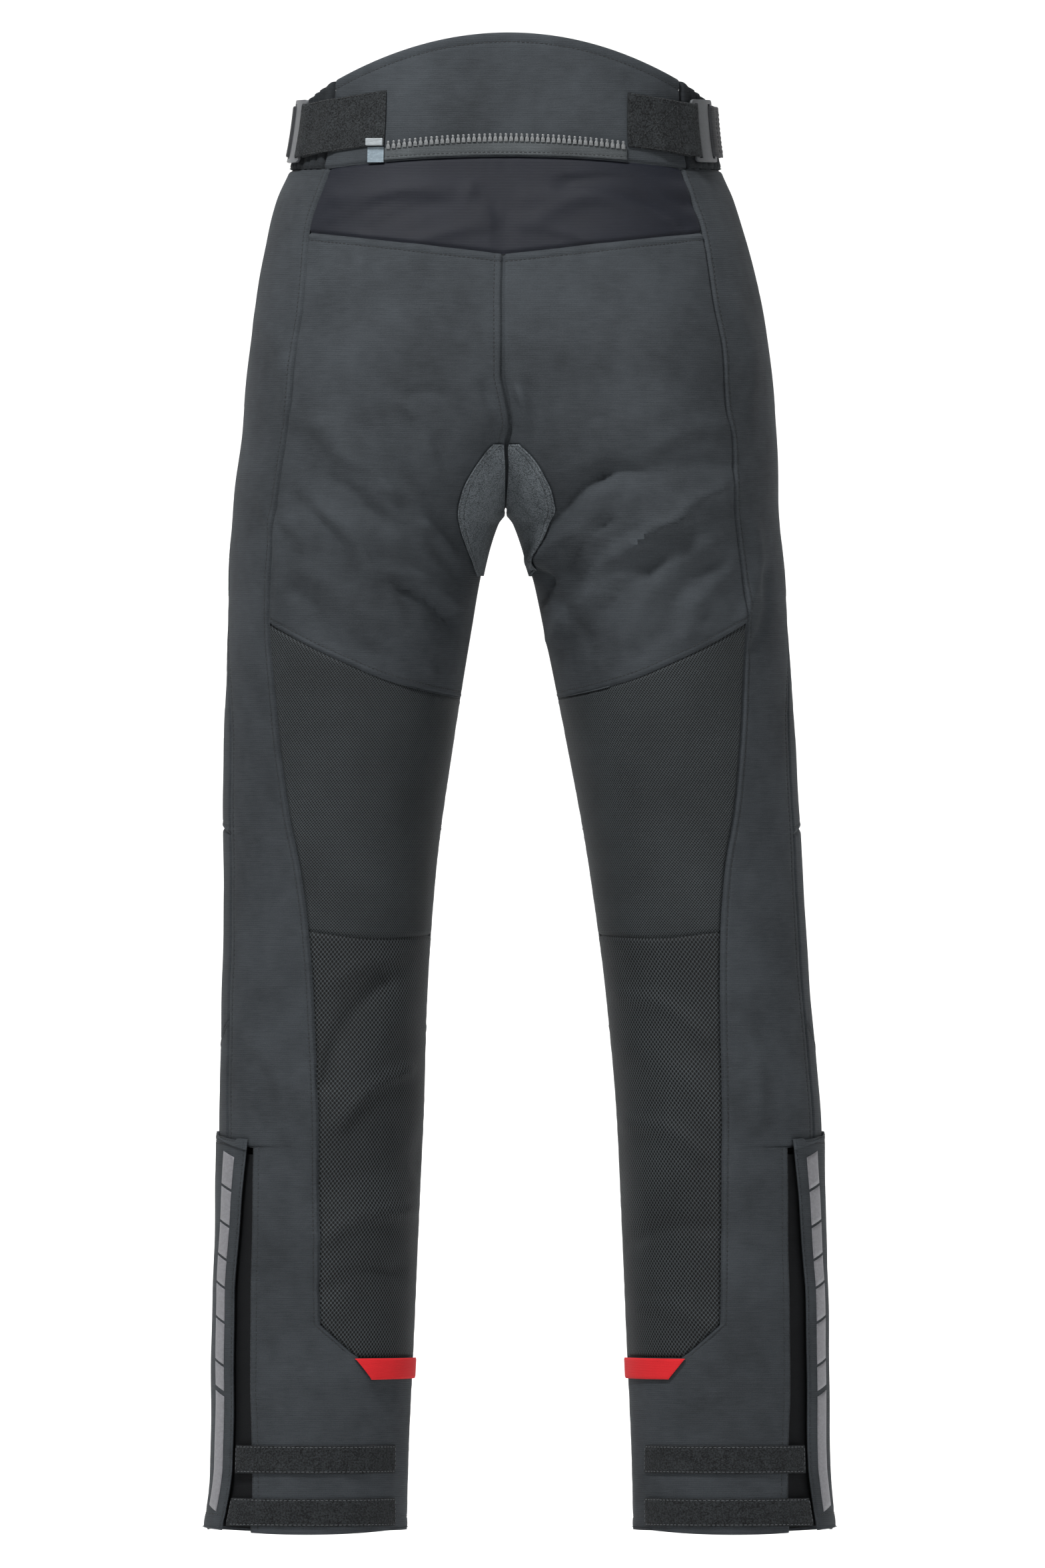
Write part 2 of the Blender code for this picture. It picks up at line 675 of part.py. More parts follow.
def leg_opening(side):
    """The gusset behind the leg's zip, the flap over it, and the closing strips at the hem."""
    heights = divided((ZIP_TOP - 10, HEM + 4), LONG_CELL)
    place = patch(side, lambda z: zip_edge(z) - 0.012, girth(0.4985), level(ZIP_TOP - 10),
                  lambda u, x: hem(u, x) + 3, 5, heights, heights)
    sheet(side_name("zip_gusset", side), [surface(*place, lift=-CLOTH - LAY)], side, "stretch", TRIM)
    heights = divided((ZIP_TOP, HEM), LONG_CELL)
    place = patch(side, flap_edge, girth(0.59),
                  lambda u, x: -700.0 - 13.0 * np.clip((0.5 - u) / 0.13, 0, 1), hem, 6,
                  heights, heights)
    sheet(side_name("zip_flap", side), [surface(*place, lift=CLOTH + LAY)], side, "twill")
    for stem, high, low in (("upper", -925.0, -945.0), ("lower", -963.0, -983.0)):
        place = patch(side, lambda z: girth_at(91.0, z), lambda z: flap_edge(z) - 0.006,
                      level(high), level(low), 9, (high, low), (high, low))
        sheet(side_name("hem_strip_" + stem, side), [surface(*place, lift=TRIM + LAY)], side,
              "hook_loop", TRIM)
    high, low = MESH_END - 0.5, MESH_END - 15.5
    place = patch(side, girth(0.004), lambda z: girth_at(119.0 + (z - high) * 0.75, z),
                  level(high), level(low), 5, (high, low), (high, low))
    sheet(side_name("red_tab", side), [surface(*place, lift=TRIM + 1.7 * LAY)], side, "red_cloth",
          TRIM)


def round_waist(side, a, z, lift):
    """The surface at a length a round from the outermost point, towards the back."""
    u = np.linspace(0.0, 0.8, 400)
    x, y = ring(u, np.full_like(u, STRAP_MIDDLE))
    length = np.concatenate([[0], np.cumsum(np.hypot(np.diff(x), np.diff(y)))])
    outermost = np.interp(0.5, u, length)
    return surface(side, np.interp(outermost - a, length, u), z, lift)


def webbing(name, side, path, middle, half, material, slanted=lambda a: 0.0):
    """A strap of TRIM's thickness along a path of (a, height over the cloth) points."""
    path = np.array(path, float)
    way = np.gradient(path, axis=0)
    way /= np.linalg.norm(way, axis=1, keepdims=True)
    out = np.stack([-way[:, 1], way[:, 0]], -1) * TRIM / 2
    body = bmesh.new()
    sections = []
    for (a, height), (da, dh) in zip(path, out):
        corners = []
        for sign_out, sign_z in ((1, 1), (1, -1), (-1, -1), (-1, 1)):
            z = middle(a) + sign_z * half(a)
            along = a + sign_out * da + sign_z * slanted(a)
            point, _ = round_waist(np.float64(side), along, np.float64(z),
                                   np.float64(height + sign_out * dh))
            corners.append(body.verts.new(point * METRE))
        sections.append(corners)
    for near, far in zip(sections, sections[1:]):
        for i in range(4):
            j = (i + 1) % 4
            body.faces.new([near[i], near[j], far[j], far[i]])
    body.faces.new(sections[0][::-1])
    body.faces.new(sections[-1])
    bmesh.ops.recalc_face_normals(body, faces=body.faces)
    mesh = bpy.data.meshes.new(name)
    body.to_mesh(mesh)
    body.free()
    return add_object(name, mesh, material)


def looped(bar, way, under, over, end):
    """A path that starts on the cloth, goes under a ring's bar, turns round it and comes back."""
    low = RIB_RISE + STRAP_CLEAR + TRIM / 2
    bar_middle = low + TRIM / 2 + SEAM_GAP + RING_THICK / 2
    high = bar_middle + RING_THICK / 2 + SEAM_GAP + TRIM / 2
    radius = (high - low) / 2
    turn_at = bar - way * (RING_BAR / 2 + SEAM_GAP)
    path = [(bar + way * a, low) for a in np.linspace(under, 2, max(3, round(under / 11)))]
    path += [(turn_at - way * radius * math.sin(t), low + radius * (1 - math.cos(t)))
             for t in np.linspace(0, math.pi, 7)]
    resting = low + TRIM + SEAM_GAP
    path += [(bar + way * 5, high), (bar + way * 14, resting)]
    path += [(bar + way * a, resting) for a in np.linspace(24, under + 3, max(2, round(under / 14)))]
    if over > under + 12:
        past_ribs = max(under + 12, RIBS_END - bar)
        path += [(bar + way * (past_ribs - 8), resting)]
        path += [(bar + way * a, end) for a in np.linspace(past_ribs + 3, over, 4)]
    return path


def waist_adjuster(side):
    """The hook-and-loop strap, the ring with its plate between two slots, and the ring's loop."""
    middle = RING_PLACE[side]
    bar = RING_WIDTH / 2 - RING_BAR / 2

    def slant(a):
        return STRAP_MIDDLE + STRAP_RISE[side] * max(0.0, a - middle - bar)

    def end_cut(a):
        return -STRAP_SLANT * max(0.0, (a - STRAP_END + 20) / 20)

    path = looped(middle + bar, 1, 26.0, STRAP_END - middle - bar, STRAP_CLEAR + TRIM / 2)
    webbing(side_name("waist_strap", side), side, path, slant, lambda a: STRAP_HEIGHT / 2,
            "hook_loop", end_cut)
    path = looped(middle - bar, -1, 28.0, 31.0, 0.0)
    webbing(side_name("ring_loop", side), side, path, lambda a: STRAP_MIDDLE,
            lambda a: STRAP_HEIGHT / 2 - 1, "webbing")
    half_hole = RING_WIDTH / 2 - RING_BAR
    half_plate = half_hole - RING_SLOT
    across = middle + np.array([RING_WIDTH / 2, half_hole, half_plate,
                                -half_plate, -half_hole, -RING_WIDTH / 2])
    top, bottom = STRAP_MIDDLE + RING_HEIGHT / 2, STRAP_MIDDLE - RING_HEIGHT / 2
    up = np.array([top, top - RING_END, bottom + RING_END, bottom])
    lift = RIB_RISE + STRAP_CLEAR + TRIM + SEAM_GAP + RING_THICK
    grids = []
    rails = (((0, 6), (0, 2)), ((0, 6), (2, 4)))
    uprights = tuple(((first, first + 2), (1, 3)) for first in (0, 2, 4))
    for columns, levels in rails + uprights:
        a, z = np.broadcast_arrays(across[None, slice(*columns)], up[slice(*levels), None])
        grids.append(round_waist(side * np.ones_like(a), a, z, np.full_like(a, lift)))
    sheet(side_name("waist_ring", side), grids, side, "ring_plastic", RING_THICK, 0.0)


def connecting_zip():
    """Half a zip behind the waist: its tape, its row of teeth, and the box and tab at its end."""
    def tape_top(u, x):
        return ZIP_TAPE - 6.0 * (x / ZIP_HALF) ** 2

    def teeth_top(u, x):
        return tape_top(u, x) + ZIP_TEETH

    def tape_foot(u, x):
        return waist_seam(u, x) + 0.8

    off_band = 1.3 * LAY
    place = across_back(lambda z: girth_at(ZIP_HALF, z), tape_top, tape_foot, 8,
                        np.array([ZIP_TAPE, 0.0]))
    sheet("zip_tape", [surface(*place, lift=TRIM + off_band)], 1, "zip_tape", TRIM)
    place = across_back(lambda z: girth_at(ZIP_HALF - 1, z), teeth_top, tape_top, 8,
                        np.array([ZIP_TAPE + ZIP_TEETH, ZIP_TAPE]))
    sheet("zip_teeth", [surface(*place, lift=ZIP_THICK + off_band)], 1, "zip_plastic", ZIP_THICK)
    over_strap = STRAP_CLEAR + TRIM + SEAM_GAP
    for name, low, high, thick, clear, material in (
        ("zip_box", 7.4, 12.6, 3.0, over_strap, "zip_plastic"),
        ("zip_tab", -4.6, 6.9, TRIM, LAY, "tab_plastic"),
    ):
        place = patch(-1, lambda z: girth_at(ZIP_HALF + 0.5, z),
                      lambda z: girth_at(ZIP_HALF + 12.0, z), level(high), level(low), 2,
                      (high, low), (high, low))
        sheet(name, [surface(*place, lift=thick + clear)], -1, material, thick)


def front_closure():
    """The fly's placket, and the tab and snap that close the front of the waist."""
    fly_edge = ((-9, 34.0), (-120, 34.0), (-140, 30.0), (-155, 20.0), (-166, 6.0))
    heights = rows(-9.0, -166.0)
    place = patch(-1, lambda z: girth_at(smooth(fly_edge, z), z, front=True), girth(0.998),
                  level(-9.0), level(-166.0), 3, heights, heights)
    sheet("fly", [surface(*place, lift=CLOTH + LAY)], -1, "twill")
    x = np.linspace(16.0, -36.0, 7)[None, :]
    z = np.array([27.0, -5.0])[:, None]
    x, z = np.broadcast_arrays(x, z)
    u = girth_at(np.abs(x), z, front=True)
    tab = surface(np.where(x < 0, -1.0, 1.0), u, z, np.full_like(u, CLOTH + LAY))
    sheet("waist_tab", [tab], 1, "twill")
    snap_radius, snap_thick = 6.0, 2.4
    point, normal = surface(np.float64(1), girth_at(4.0, 11.0, front=True), np.float64(11.0),
                            np.float64(CLOTH + LAY + SEAM_GAP + snap_thick / 2))
    body = bmesh.new()
    bmesh.ops.create_cone(body, cap_ends=True, segments=20, radius1=snap_radius * METRE,
                          radius2=snap_radius * METRE, depth=snap_thick * METRE)
    rim = [e for e in body.edges if all(v.co.z > 0 for v in e.verts)]
    bmesh.ops.bevel(body, geom=rim, offset=0.7 * METRE, segments=2, profile=0.6, affect="EDGES")
    mesh = bpy.data.meshes.new("waist_snap")
    body.to_mesh(mesh)
    body.free()
    snap = add_object("waist_snap", mesh, "snap_metal")
    snap.location = point * METRE
    snap.rotation_mode = "QUATERNION"
    snap.rotation_quaternion = Vector(normal).to_track_quat("Z", "Y")


def main():
    for item in list(bpy.data.objects):
        bpy.data.objects.remove(item)
    waistband()
    back_panels()
    for side in (1, -1):
        side_panel(side)
        front_panels(side)
        leg_opening(side)
        waist_adjuster(side)
    connecting_zip()
    front_closure()


main()
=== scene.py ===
"""Motorcycle trousers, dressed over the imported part: cloth panels, seams, stitches and trims.

The shapes are worked out in millimetres in the part's frame, and the meshes are made in metres. A
place on the cloth has a side (1 right, -1 left), a girth u and a height z. The girth is 0 at the
centre back or the inseam, 0.5 at the outer side, and 1 at the centre front or the inseam again.
"""

import math

import bmesh
import bpy
import numpy as np
from mathutils import Matrix, Vector


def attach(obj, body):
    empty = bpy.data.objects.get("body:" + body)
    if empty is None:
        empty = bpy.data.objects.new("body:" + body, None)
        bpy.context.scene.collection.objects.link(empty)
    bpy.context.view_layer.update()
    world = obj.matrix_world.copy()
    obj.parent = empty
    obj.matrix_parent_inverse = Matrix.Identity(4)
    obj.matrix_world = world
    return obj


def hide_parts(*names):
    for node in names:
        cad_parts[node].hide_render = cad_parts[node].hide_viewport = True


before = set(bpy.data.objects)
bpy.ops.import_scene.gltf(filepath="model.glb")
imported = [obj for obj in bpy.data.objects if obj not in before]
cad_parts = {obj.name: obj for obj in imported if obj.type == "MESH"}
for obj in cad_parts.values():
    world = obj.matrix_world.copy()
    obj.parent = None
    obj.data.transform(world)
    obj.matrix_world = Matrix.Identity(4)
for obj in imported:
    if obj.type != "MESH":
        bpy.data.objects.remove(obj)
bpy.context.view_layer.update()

METRE = 0.001

# Cloth
CLOTH = 1.6
TRIM = 1.2
LAY = 0.7
APART = 0.3
CELL = 3.6
EDGE_STEPS = (0, 0.6, 1.2, 1.9, 2.7, 3.6, 4.5, 5.3, 6.1, 7.0, 8.2, 9.8, 12.0)

# Heights
KIDNEY_RISE = 89.0
BAND_TOP = 53.0
BAND_SIDE = 38.0
BAND_FRONT = 30.0
WAIST_FOOT = -8.0
YOKE_INNER, YOKE_SIDE = -70.0, -54.0
THIGH_INNER, THIGH_SIDE = -390.0, -335.0
KNEE_INNER, KNEE_SIDE = -558.0, -556.0
KNEE_TOP, KNEE_FOOT = -486.0, -620.0
FORK_TOP = -150.0
FORK = -252.0
HEM = -987.0
ZIP_TOP = -706.0
MESH_END = -862.0
MESH_CORNER = -838.0
TURNED_HEM = 11.0

# Places across
KIDNEY_HALF = 127.0
CORNER_X = 116.0
SEAM_X = 143.5

# The front snap
SNAP_X = 4.0
SNAP_Z = 11.0
SNAP_RADIUS = 6.0
SNAP_THICK = 2.4

# Waist adjusters
RING_PLACE = {1: 50.0, -1: 28.0}
RING_WIDTH = 30.0
RING_HEIGHT = 46.0
RING_BAR = 4.0
RING_SLOT = 3.5
RING_END = 3.0
RING_THICK = 2.0
STRAP_HEIGHT = 39.0
STRAP_MIDDLE = 18.5
STRAP_END = 120.7
STRAP_RISE = {1: 0.14, -1: 0.12}
STRAP_SLANT = 1.5
RIBS_END = 74.0
RIBBED_TO = 0.64
RIBS = 16
RIB_RISE = 1.2
STRAP_CLEAR = 0.6

# Gathered ribs and the relief's foot below the cloth's surface
RIB_HEIGHT = 1.6
RIB_FULLNESS = 0.7
RIB_SINK = 0.35

# Trims of the lower leg
HEM_STRIP = 20.0
RED_TAB = 15.0
REFLECTIVE = (
    # top and bottom height of each printed bar, beside the flap's back edge
    (-716, -739), (-741, -765), (-767, -789), (-791, -809), (-811, -834), (-836, -865),
    (-867, -884), (-888, -971),
)
BAR_SLANT = 4.5
BAR_INSET = 0.026
BAR_WIDTH = 0.036
BAR_RISE = 0.32
BAR_THICK = 0.25

# The half of the connecting zip
ZIP_HALF = 86.5
ZIP_TAPE = 12.0
ZIP_THICK = 2.4
TEETH = 45

SECTION_COLUMNS = (
    "z", "inner", "inner_y", "outer", "outer_y", "back_x", "back_y", "front_x", "front_y", "turn",
)
SECTIONS = (
    (100, 0.0, -8, 145.0, 0, 40, -99, 40, 100, 0),
    (42, 0.0, -8, 147.5, 0, 42, -102, 42, 102, 0),
    (0, 0.0, -8, 152.5, 0, 46, -105, 44, 104, 0),
    (-30, 0.0, -8, 164.5, -2, 54, -112, 50, 107, 0),
    (-54, 0.0, -8, 171.0, -3, 62, -118, 54, 108, 0),
    (-102, 0.0, -8, 181.0, -6, 74, -128, 62, 107, 0),
    (-150, 0.0, -8, 188.0, -9, 84, -133, 72, 105, 6),
    (-200, 0.0, -8, 193.0, -12, 92, -132, 83, 102, 28),
    (-232, 0.0, -8, 195.5, -13, 98, -129, 91, 100, 60),
    (-252, 0.5, -8, 196.5, -14, 101, -126, 97, 99, 88),
    (-262, 7.0, -8, 197.0, -14, 103, -125, 99, 98, 90),
    (-294, 17.0, -8, 199.5, -12, 106, -119, 104, 97, 90),
    (-342, 26.5, -6, 202.0, -10, 112, -111, 112, 94, 90),
    (-414, 39.5, -3, 206.0, -6, 121, -99, 122, 91, 90),
    (-510, 54.8, 2, 208.3, 2, 131, -83, 131, 90, 90),
    (-606, 64.5, 3, 212.0, 4, 138, -79, 138, 87, 90),
    (-702, 70.0, -3, 216.5, -3, 143, -84, 143, 77, 90),
    (-846, 76.3, -4, 219.5, -4, 148, -80, 148, 71, 90),
    (-942, 80.5, -4, 221.5, -4, 151, -78, 151, 69, 90),
    (-990, 81.5, -4, 226.0, -4, 153, -77, 153, 69, 90),
)
DRIFT = ((100, 0.0), (0, -2.5), (-30, -3.0), (-126, 0.0), (-198, 0.0), (-252, -2.5),
         (-342, -1.0), (-414, 0.5), (-510, 2.6), (-606, 5.5), (-702, 8.0), (-990, 7.8))
SIDE_SEAM = ((20, 121.0), (-8, 127.0), (-54, 142.0), (-108, 148.5), (-140, 154.0), (-179, 156.5),
             (-205, 161.5), (-248, 164.5), (-335, 172.0), (-365, 170.5), (-422, 166.0),
             (-469, 160.5), (-513, 152.5), (-557, 148.0), (-606, 146.0), (-838, 143.5))
OUTER_SEAM = ((40, 0.54), (-200, 0.525), (-330, 0.50), (-420, 0.445), (-706, 0.435))
THIGH_SEAM = ((20, -390.0), (36, -388.0), (62, -383.0), (90, -375.0), (116, -364.0),
              (146, -350.0), (172, -335.0), (190, -322.0))
FLY_EDGE = ((-9, 34.0), (-120, 34.0), (-140, 30.0), (-155, 20.0), (-166, 6.0))
FLAP_EDGE = ((ZIP_TOP, 0.372), (-748, 0.3825), (-812, 0.393), (-942, 0.392), (HEM, 0.405))
KNEE_SEAM = ((50, -558.0), (100, -561.0), (148, -556.0))
PATCH_EDGE = ((-206, 9.0), (-214, 17.0), (-226, 25.5), (-240, 32.0), (-254, 34.5),
              (-268, 32.5), (-282, 28.5), (-296, 23.6), (-308, 20.0), (-316, 18.5))
# How far the centre back seam wanders sideways at each height
WANDER = ((-50, 0.0), (-72, -2.4), (-110, -4.6), (-156, -4.8), (-174, -1.5), (-193, 1.2),
          (-208, -2.0), (-222, -0.5), (-236, 0.0))

# A narrow fold is drawn finer and higher than its row says, and it bows
FINE_FOLD = 9
FINE_WIDTH = 0.78
FINE_RISE = 1.8
FOLD_BOW = 0.10
FOLD_FADE = 1.6

# Creases from (x0, z0) to (x1, z1). face is -1 for the back and 1 for the front, and rise is
# negative for a trough. The first ones are the part's own.
FOLDS = (
    # face, x0, z0, x1, z1, width, rise
    (-1, -126, -202, -74, -272, 13, 4.5),
    (-1, -104, -196, -52, -262, 12, -3.5),
    (-1, -134, -262, -86, -306, 14, 3.0),
    (-1, -76, -300, -44, -332, 12, -3.0),
    (-1, 44, -240, 98, -222, 12, -4.5),
    (-1, 24, -290, 74, -250, 12, 4.5),
    (-1, 88, -282, 144, -242, 14, 4.0),
    (-1, 26, -348, 62, -318, 12, 3.5),
    (-1, 60, -306, 108, -290, 13, -3.0),
    (-1, 3, -156, 11, -190, 9, 3.0),
    (-1, -134, -704, -80, -612, 13, 3.0),
    (-1, -130, -740, -72, -722, 12, -2.5),
    (-1, 90, -640, 136, -668, 13, 2.5),
    (1, -100, -250, -40, -214, 14, 4.0),
    (1, 44, -216, 102, -252, 14, 4.0),
    (1, -110, -290, -60, -262, 13, -3.0),
    (1, 62, -268, 112, -296, 13, -3.0),
    # the right seat and thigh
    (-1, 38, -252, 66, -229, 6, -2.2),
    (-1, 66, -229, 92, -226, 6, -1.8),
    (-1, 40, -268, 74, -238, 6, 1.2),
    (-1, 27, -287, 50, -273, 6, 2.0),
    (-1, 43, -295, 70, -262, 6, -2.0),
    (-1, 70, -262, 80, -244, 6, -1.3),
    (-1, 52, -317, 93, -278, 6, 1.8),
    (-1, 93, -278, 118, -262, 5, 2.2),
    (-1, 118, -262, 148, -240, 5, 1.7),
    (-1, 38, -342, 56, -317, 6, 2.0),
    (-1, 48, -306, 92, -268, 5, -1.3),
    (-1, 96, -292, 130, -268, 7, -1.4),
    (-1, 48, -335, 93, -298, 6, 1.7),
    (-1, 71, -324, 107, -290, 6, -1.8),
    (-1, 86, -342, 144, -278, 7, 1.7),
    (-1, 114, -331, 146, -294, 6, -1.7),
    (-1, 126, -345, 156, -300, 6, 1.4),
    (-1, 22, -296, 29, -303, 3.5, -2.0),
    (-1, 29, -303, 20, -322, 3.5, -2.0),
    (-1, 34, -318, 60, -348, 6, -1.2),
    (-1, 59, -188, 70, -188, 2.5, -0.9),
    (-1, 76, -196, 120, -176, 9, 1.1),
    (-1, 100, -214, 150, -194, 8, 1.2),
    (-1, 100, -232, 154, -222, 7, -1.1),
    (-1, 96, -356, 140, -330, 6, -1.1),
    # the yoke
    (-1, -122, -44, -30, -24, 6, 1.3),
    (-1, -100, -52, -10, -36, 5, -1.0),
    (-1, 14, -30, 112, -46, 6, 1.2),
    (-1, 44, -18, 128, -34, 5, -1.0),
    (-1, -120, -30, -20, -38, 8, 1.3),
    (-1, -118, -46, -40, -26, 7, -1.1),
    (-1, 24, -42, 120, -24, 8, 1.3),
    (-1, 40, -22, 126, -50, 7, -1.1),
    (-1, -64, -60, 60, -60, 7, 0.9),
    # beside the centre seam
    (-1, -2, -154, 9, -173, 4.5, 2.6),
    (-1, 9, -173, 5, -192, 4.5, 2.8),
    (-1, 5, -192, -2, -209, 4.5, 2.0),
    (-1, 16, -168, 18, -196, 5, -1.6),
    (-1, -14, -170, -12, -212, 6, -1.8),
    # the left seat and thigh
    (-1, -76, -178, -57, -210, 6, 1.5),
    (-1, -71, -171, -47, -171, 4, -1.0),
    (-1, -62, -196, -44, -226, 6, -1.2),
    (-1, -115, -217, -85, -239, 7, 2.2),
    (-1, -85, -239, -58, -262, 7, 1.2),
    (-1, -128, -232, -92, -262, 6, -1.3),
    (-1, -60, -266, -42, -286, 5, 1.9),
    (-1, -52, -284, -38, -300, 5, -1.5),
    (-1, -131, -255, -99, -297, 7, 2.4),
    (-1, -104, -250, -66, -292, 7, -1.7),
    (-1, -149, -249, -112, -304, 7, -1.9),
    (-1, -96, -290, -70, -330, 8, -1.0),
    (-1, -145, -299, -107, -342, 7, 1.9),
    (-1, -155, -312, -128, -345, 6, -1.8),
    (-1, -88, -298, -40, -321, 5, 1.7),
    (-1, -76, -310, -42, -331, 5, -2.6),
    (-1, -100, -330, -56, -352, 7, 1.3),
    (-1, -160, -262, -140, -296, 7, 1.2),
    (-1, -150, -190, -118, -206, 8, 1.2),
    (-1, -96, -346, -58, -368, 7, 1.2),
    (-1, -120, -90, -60, -70, 16, 1.3),
    (-1, -110, -140, -50, -110, 18, 1.0),
    # the lower legs
    (-1, -132, -664, -90, -592, 7, -1.8),
    (-1, -120, -692, -74, -656, 6, 1.9),
    (-1, -130, -776, -76, -756, 8, 1.9),
    (-1, -128, -812, -82, -800, 8, -1.5),
    (-1, -120, -590, -84, -576, 8, 1.3),
    (-1, 82, -602, 140, -630, 7, 1.5),
    (-1, 88, -694, 140, -716, 8, 1.7),
    (-1, 90, -778, 140, -768, 8, -1.5),
    (-1, 96, -826, 140, -838, 8, 1.4),
    # the side panels
    (-1, -168, -884, -104, -872, 9, 1.4),
    (-1, -180, -640, -160, -700, 7, 1.2),
    (-1, 166, -880, 110, -896, 9, 1.4),
    (-1, 168, -620, 178, -690, 7, 1.2),
    (-1, -176, -250, -166, -330, 6, 1.4),
    (-1, 176, -268, 168, -330, 6, 1.4),
    (-1, 184, -300, 176, -352, 5, -1.3),
    (-1, -176, -120, -160, -178, 8, 1.2),
    (-1, 164, -110, 172, -176, 8, 1.2),
    # the front
    (1, -150, -520, -90, -512, 10, -1.8),
    (1, 92, -512, 152, -520, 10, -1.8),
    (1, -150, -640, -96, -656, 10, 1.7),
    (1, 96, -656, 150, -640, 10, 1.7),
    (1, -120, -330, -60, -300, 10, 2.0),
    (1, 60, -300, 120, -330, 10, 2.0),
    (1, -140, -216, -70, -190, 9, -1.6),
    (1, 70, -190, 140, -216, 9, -1.6),
    (1, -176, -860, -110, -846, 11, 1.6),
    (1, 110, -850, 176, -862, 11, 1.6),
)


# How far from the centre seam its wandering is felt
WANDER_REACH = 18
# The back's folds give way to the front's this steeply at the outer side
SIDE_CHANGE = 40
# Folds die out towards the inner ends within this share of the half girth
FLAT_ENDS = 0.04
# The unevenness grows below the waist, over this height, and the front has another part of it
EASE_TOP = -20
EASE_GROWTH = 40
EASE_SHIFT = 400


# Shape of the cloth
def smooth(table, x):
    """A curve through the table's (place, value) rows that never overshoots them."""
    rows = sorted(table)
    xs = np.array([row[0] for row in rows], float)
    ys = np.array([row[1] for row in rows], float)
    step = np.diff(xs)
    slope = np.diff(ys) / step
    both = slope[1:] + slope[:-1]
    tangent = np.zeros(len(xs))
    tangent[1:-1] = np.where(slope[1:] * slope[:-1] > 0,
                             2 * slope[1:] * slope[:-1] / np.where(both == 0, 1, both), 0.0)
    tangent[0], tangent[-1] = slope[0], slope[-1]
    x = np.clip(np.asarray(x, float), xs[0], xs[-1])
    i = np.clip(np.searchsorted(xs, x, side="right") - 1, 0, len(xs) - 2)
    t = (x - xs[i]) / step[i]
    return (ys[i] * (1 + 2 * t) * (1 - t) ** 2 + tangent[i] * step[i] * t * (1 - t) ** 2
            + ys[i + 1] * t * t * (3 - 2 * t) + tangent[i + 1] * step[i] * t * t * (t - 1))


def straight(table, x):
    rows = sorted(table)
    return np.interp(x, [row[0] for row in rows], [row[1] for row in rows])


HEIGHTS = np.arange(-1000.0, 110.0, 0.5)
SECTION_AT = {
    name: smooth([(row[0], row[i]) for row in SECTIONS], HEIGHTS)
    for i, name in enumerate(SECTION_COLUMNS) if i
}
DRIFT_AT = smooth(DRIFT, HEIGHTS)
WANDER_AT = smooth(WANDER, HEIGHTS)


def section(name, z):
    return np.interp(z, HEIGHTS, SECTION_AT[name])


def drift(z):
    return np.interp(z, HEIGHTS, DRIFT_AT)


def fork_curve(body_y, z):
    """The seat seam's y below the fork's top: a quarter ellipse from the body in to the fork."""
    depth = np.clip((FORK_TOP - z) / (FORK_TOP - FORK), 0, 1)
    return section("inner_y", FORK) + (body_y - section("inner_y", FORK)) * np.sqrt(1 - depth**2)


def inner_end(body_y, z):
    """The y of a half section's inner end: on the seat seam, or on the inseam of a leg."""
    return np.where(z < FORK, section("inner_y", z), fork_curve(section(body_y, z), z))


# The inner ends' y averaged over a short way up and down, which the cloth beside them follows
SOFT_REACH = 16
SOFT_FROM = 0.3
SOFT_HEIGHTS = np.arange(-1020.0, 121.0)
SOFT_WEIGHTS = np.hanning(2 * SOFT_REACH + 1) / np.hanning(2 * SOFT_REACH + 1).sum()
SOFT_ENDS = {
    name: np.convolve(np.pad(inner_end(name, SOFT_HEIGHTS), SOFT_REACH, mode="edge"),
                      SOFT_WEIGHTS, mode="valid")
    for name in ("back_y", "front_y")
}


def eased_end(body_y, z, beside):
    """The inner end's y for the cloth that is beside it, from 0 at the end to 1."""
    share = np.clip(beside / SOFT_FROM, 0, 1)
    share = share * share * (3 - 2 * share)
    soft = np.interp(z, SOFT_HEIGHTS, SOFT_ENDS[body_y])
    return inner_end(body_y, z) * (1 - share) + soft * share


def pick(stack, index):
    return np.take_along_axis(stack, index[None, None], axis=0)[0]


def ring(u, z):
    """x and y of the right half's surface before its creases: four curved quarters."""
    u, z = np.broadcast_arrays(np.atleast_1d(np.asarray(u, float)), np.asarray(z, float))
    turn = np.radians(section("turn", z))
    back_y, front_y = section("back_y", z), section("front_y", z)
    inner = section("inner", z)
    quarter = np.clip(np.floor(u * 4).astype(int), 0, 3)
    t = u * 4 - quarter
    start_y = eased_end("back_y", z, t)
    end_y = eased_end("front_y", z, 1 - t)
    one, none = np.ones_like(z), np.zeros_like(z)
    corners = np.array([
        (inner, start_y),
        (section("back_x", z), back_y),
        (section("outer", z), section("outer_y", z)),
        (section("front_x", z), front_y),
        (inner, end_y),
    ])
    ways = np.array([
        (np.cos(turn), -np.sin(turn)),
        (one, none),
        (none, one),
        (-one, none),
        (-np.cos(turn), -np.sin(turn)),
    ])
    near, far = pick(corners, quarter), pick(corners, quarter + 1)
    near_way, far_way = pick(ways, quarter), pick(ways, quarter + 1)
    inner_arc = (quarter == 0) | (quarter == 3)
    fullness = np.where(inner_arc, 0.38 + 0.19 * np.sin(turn), 0.57)
    near_reach = fullness * np.abs(((far - near) * near_way).sum(0))
    far_reach = fullness * np.abs(((far - near) * far_way).sum(0))
    return (near * (1 - t) ** 3 + (near + near_way * near_reach) * 3 * t * (1 - t) ** 2
            + (far - far_way * far_reach) * 3 * t * t * (1 - t) + far * t**3)


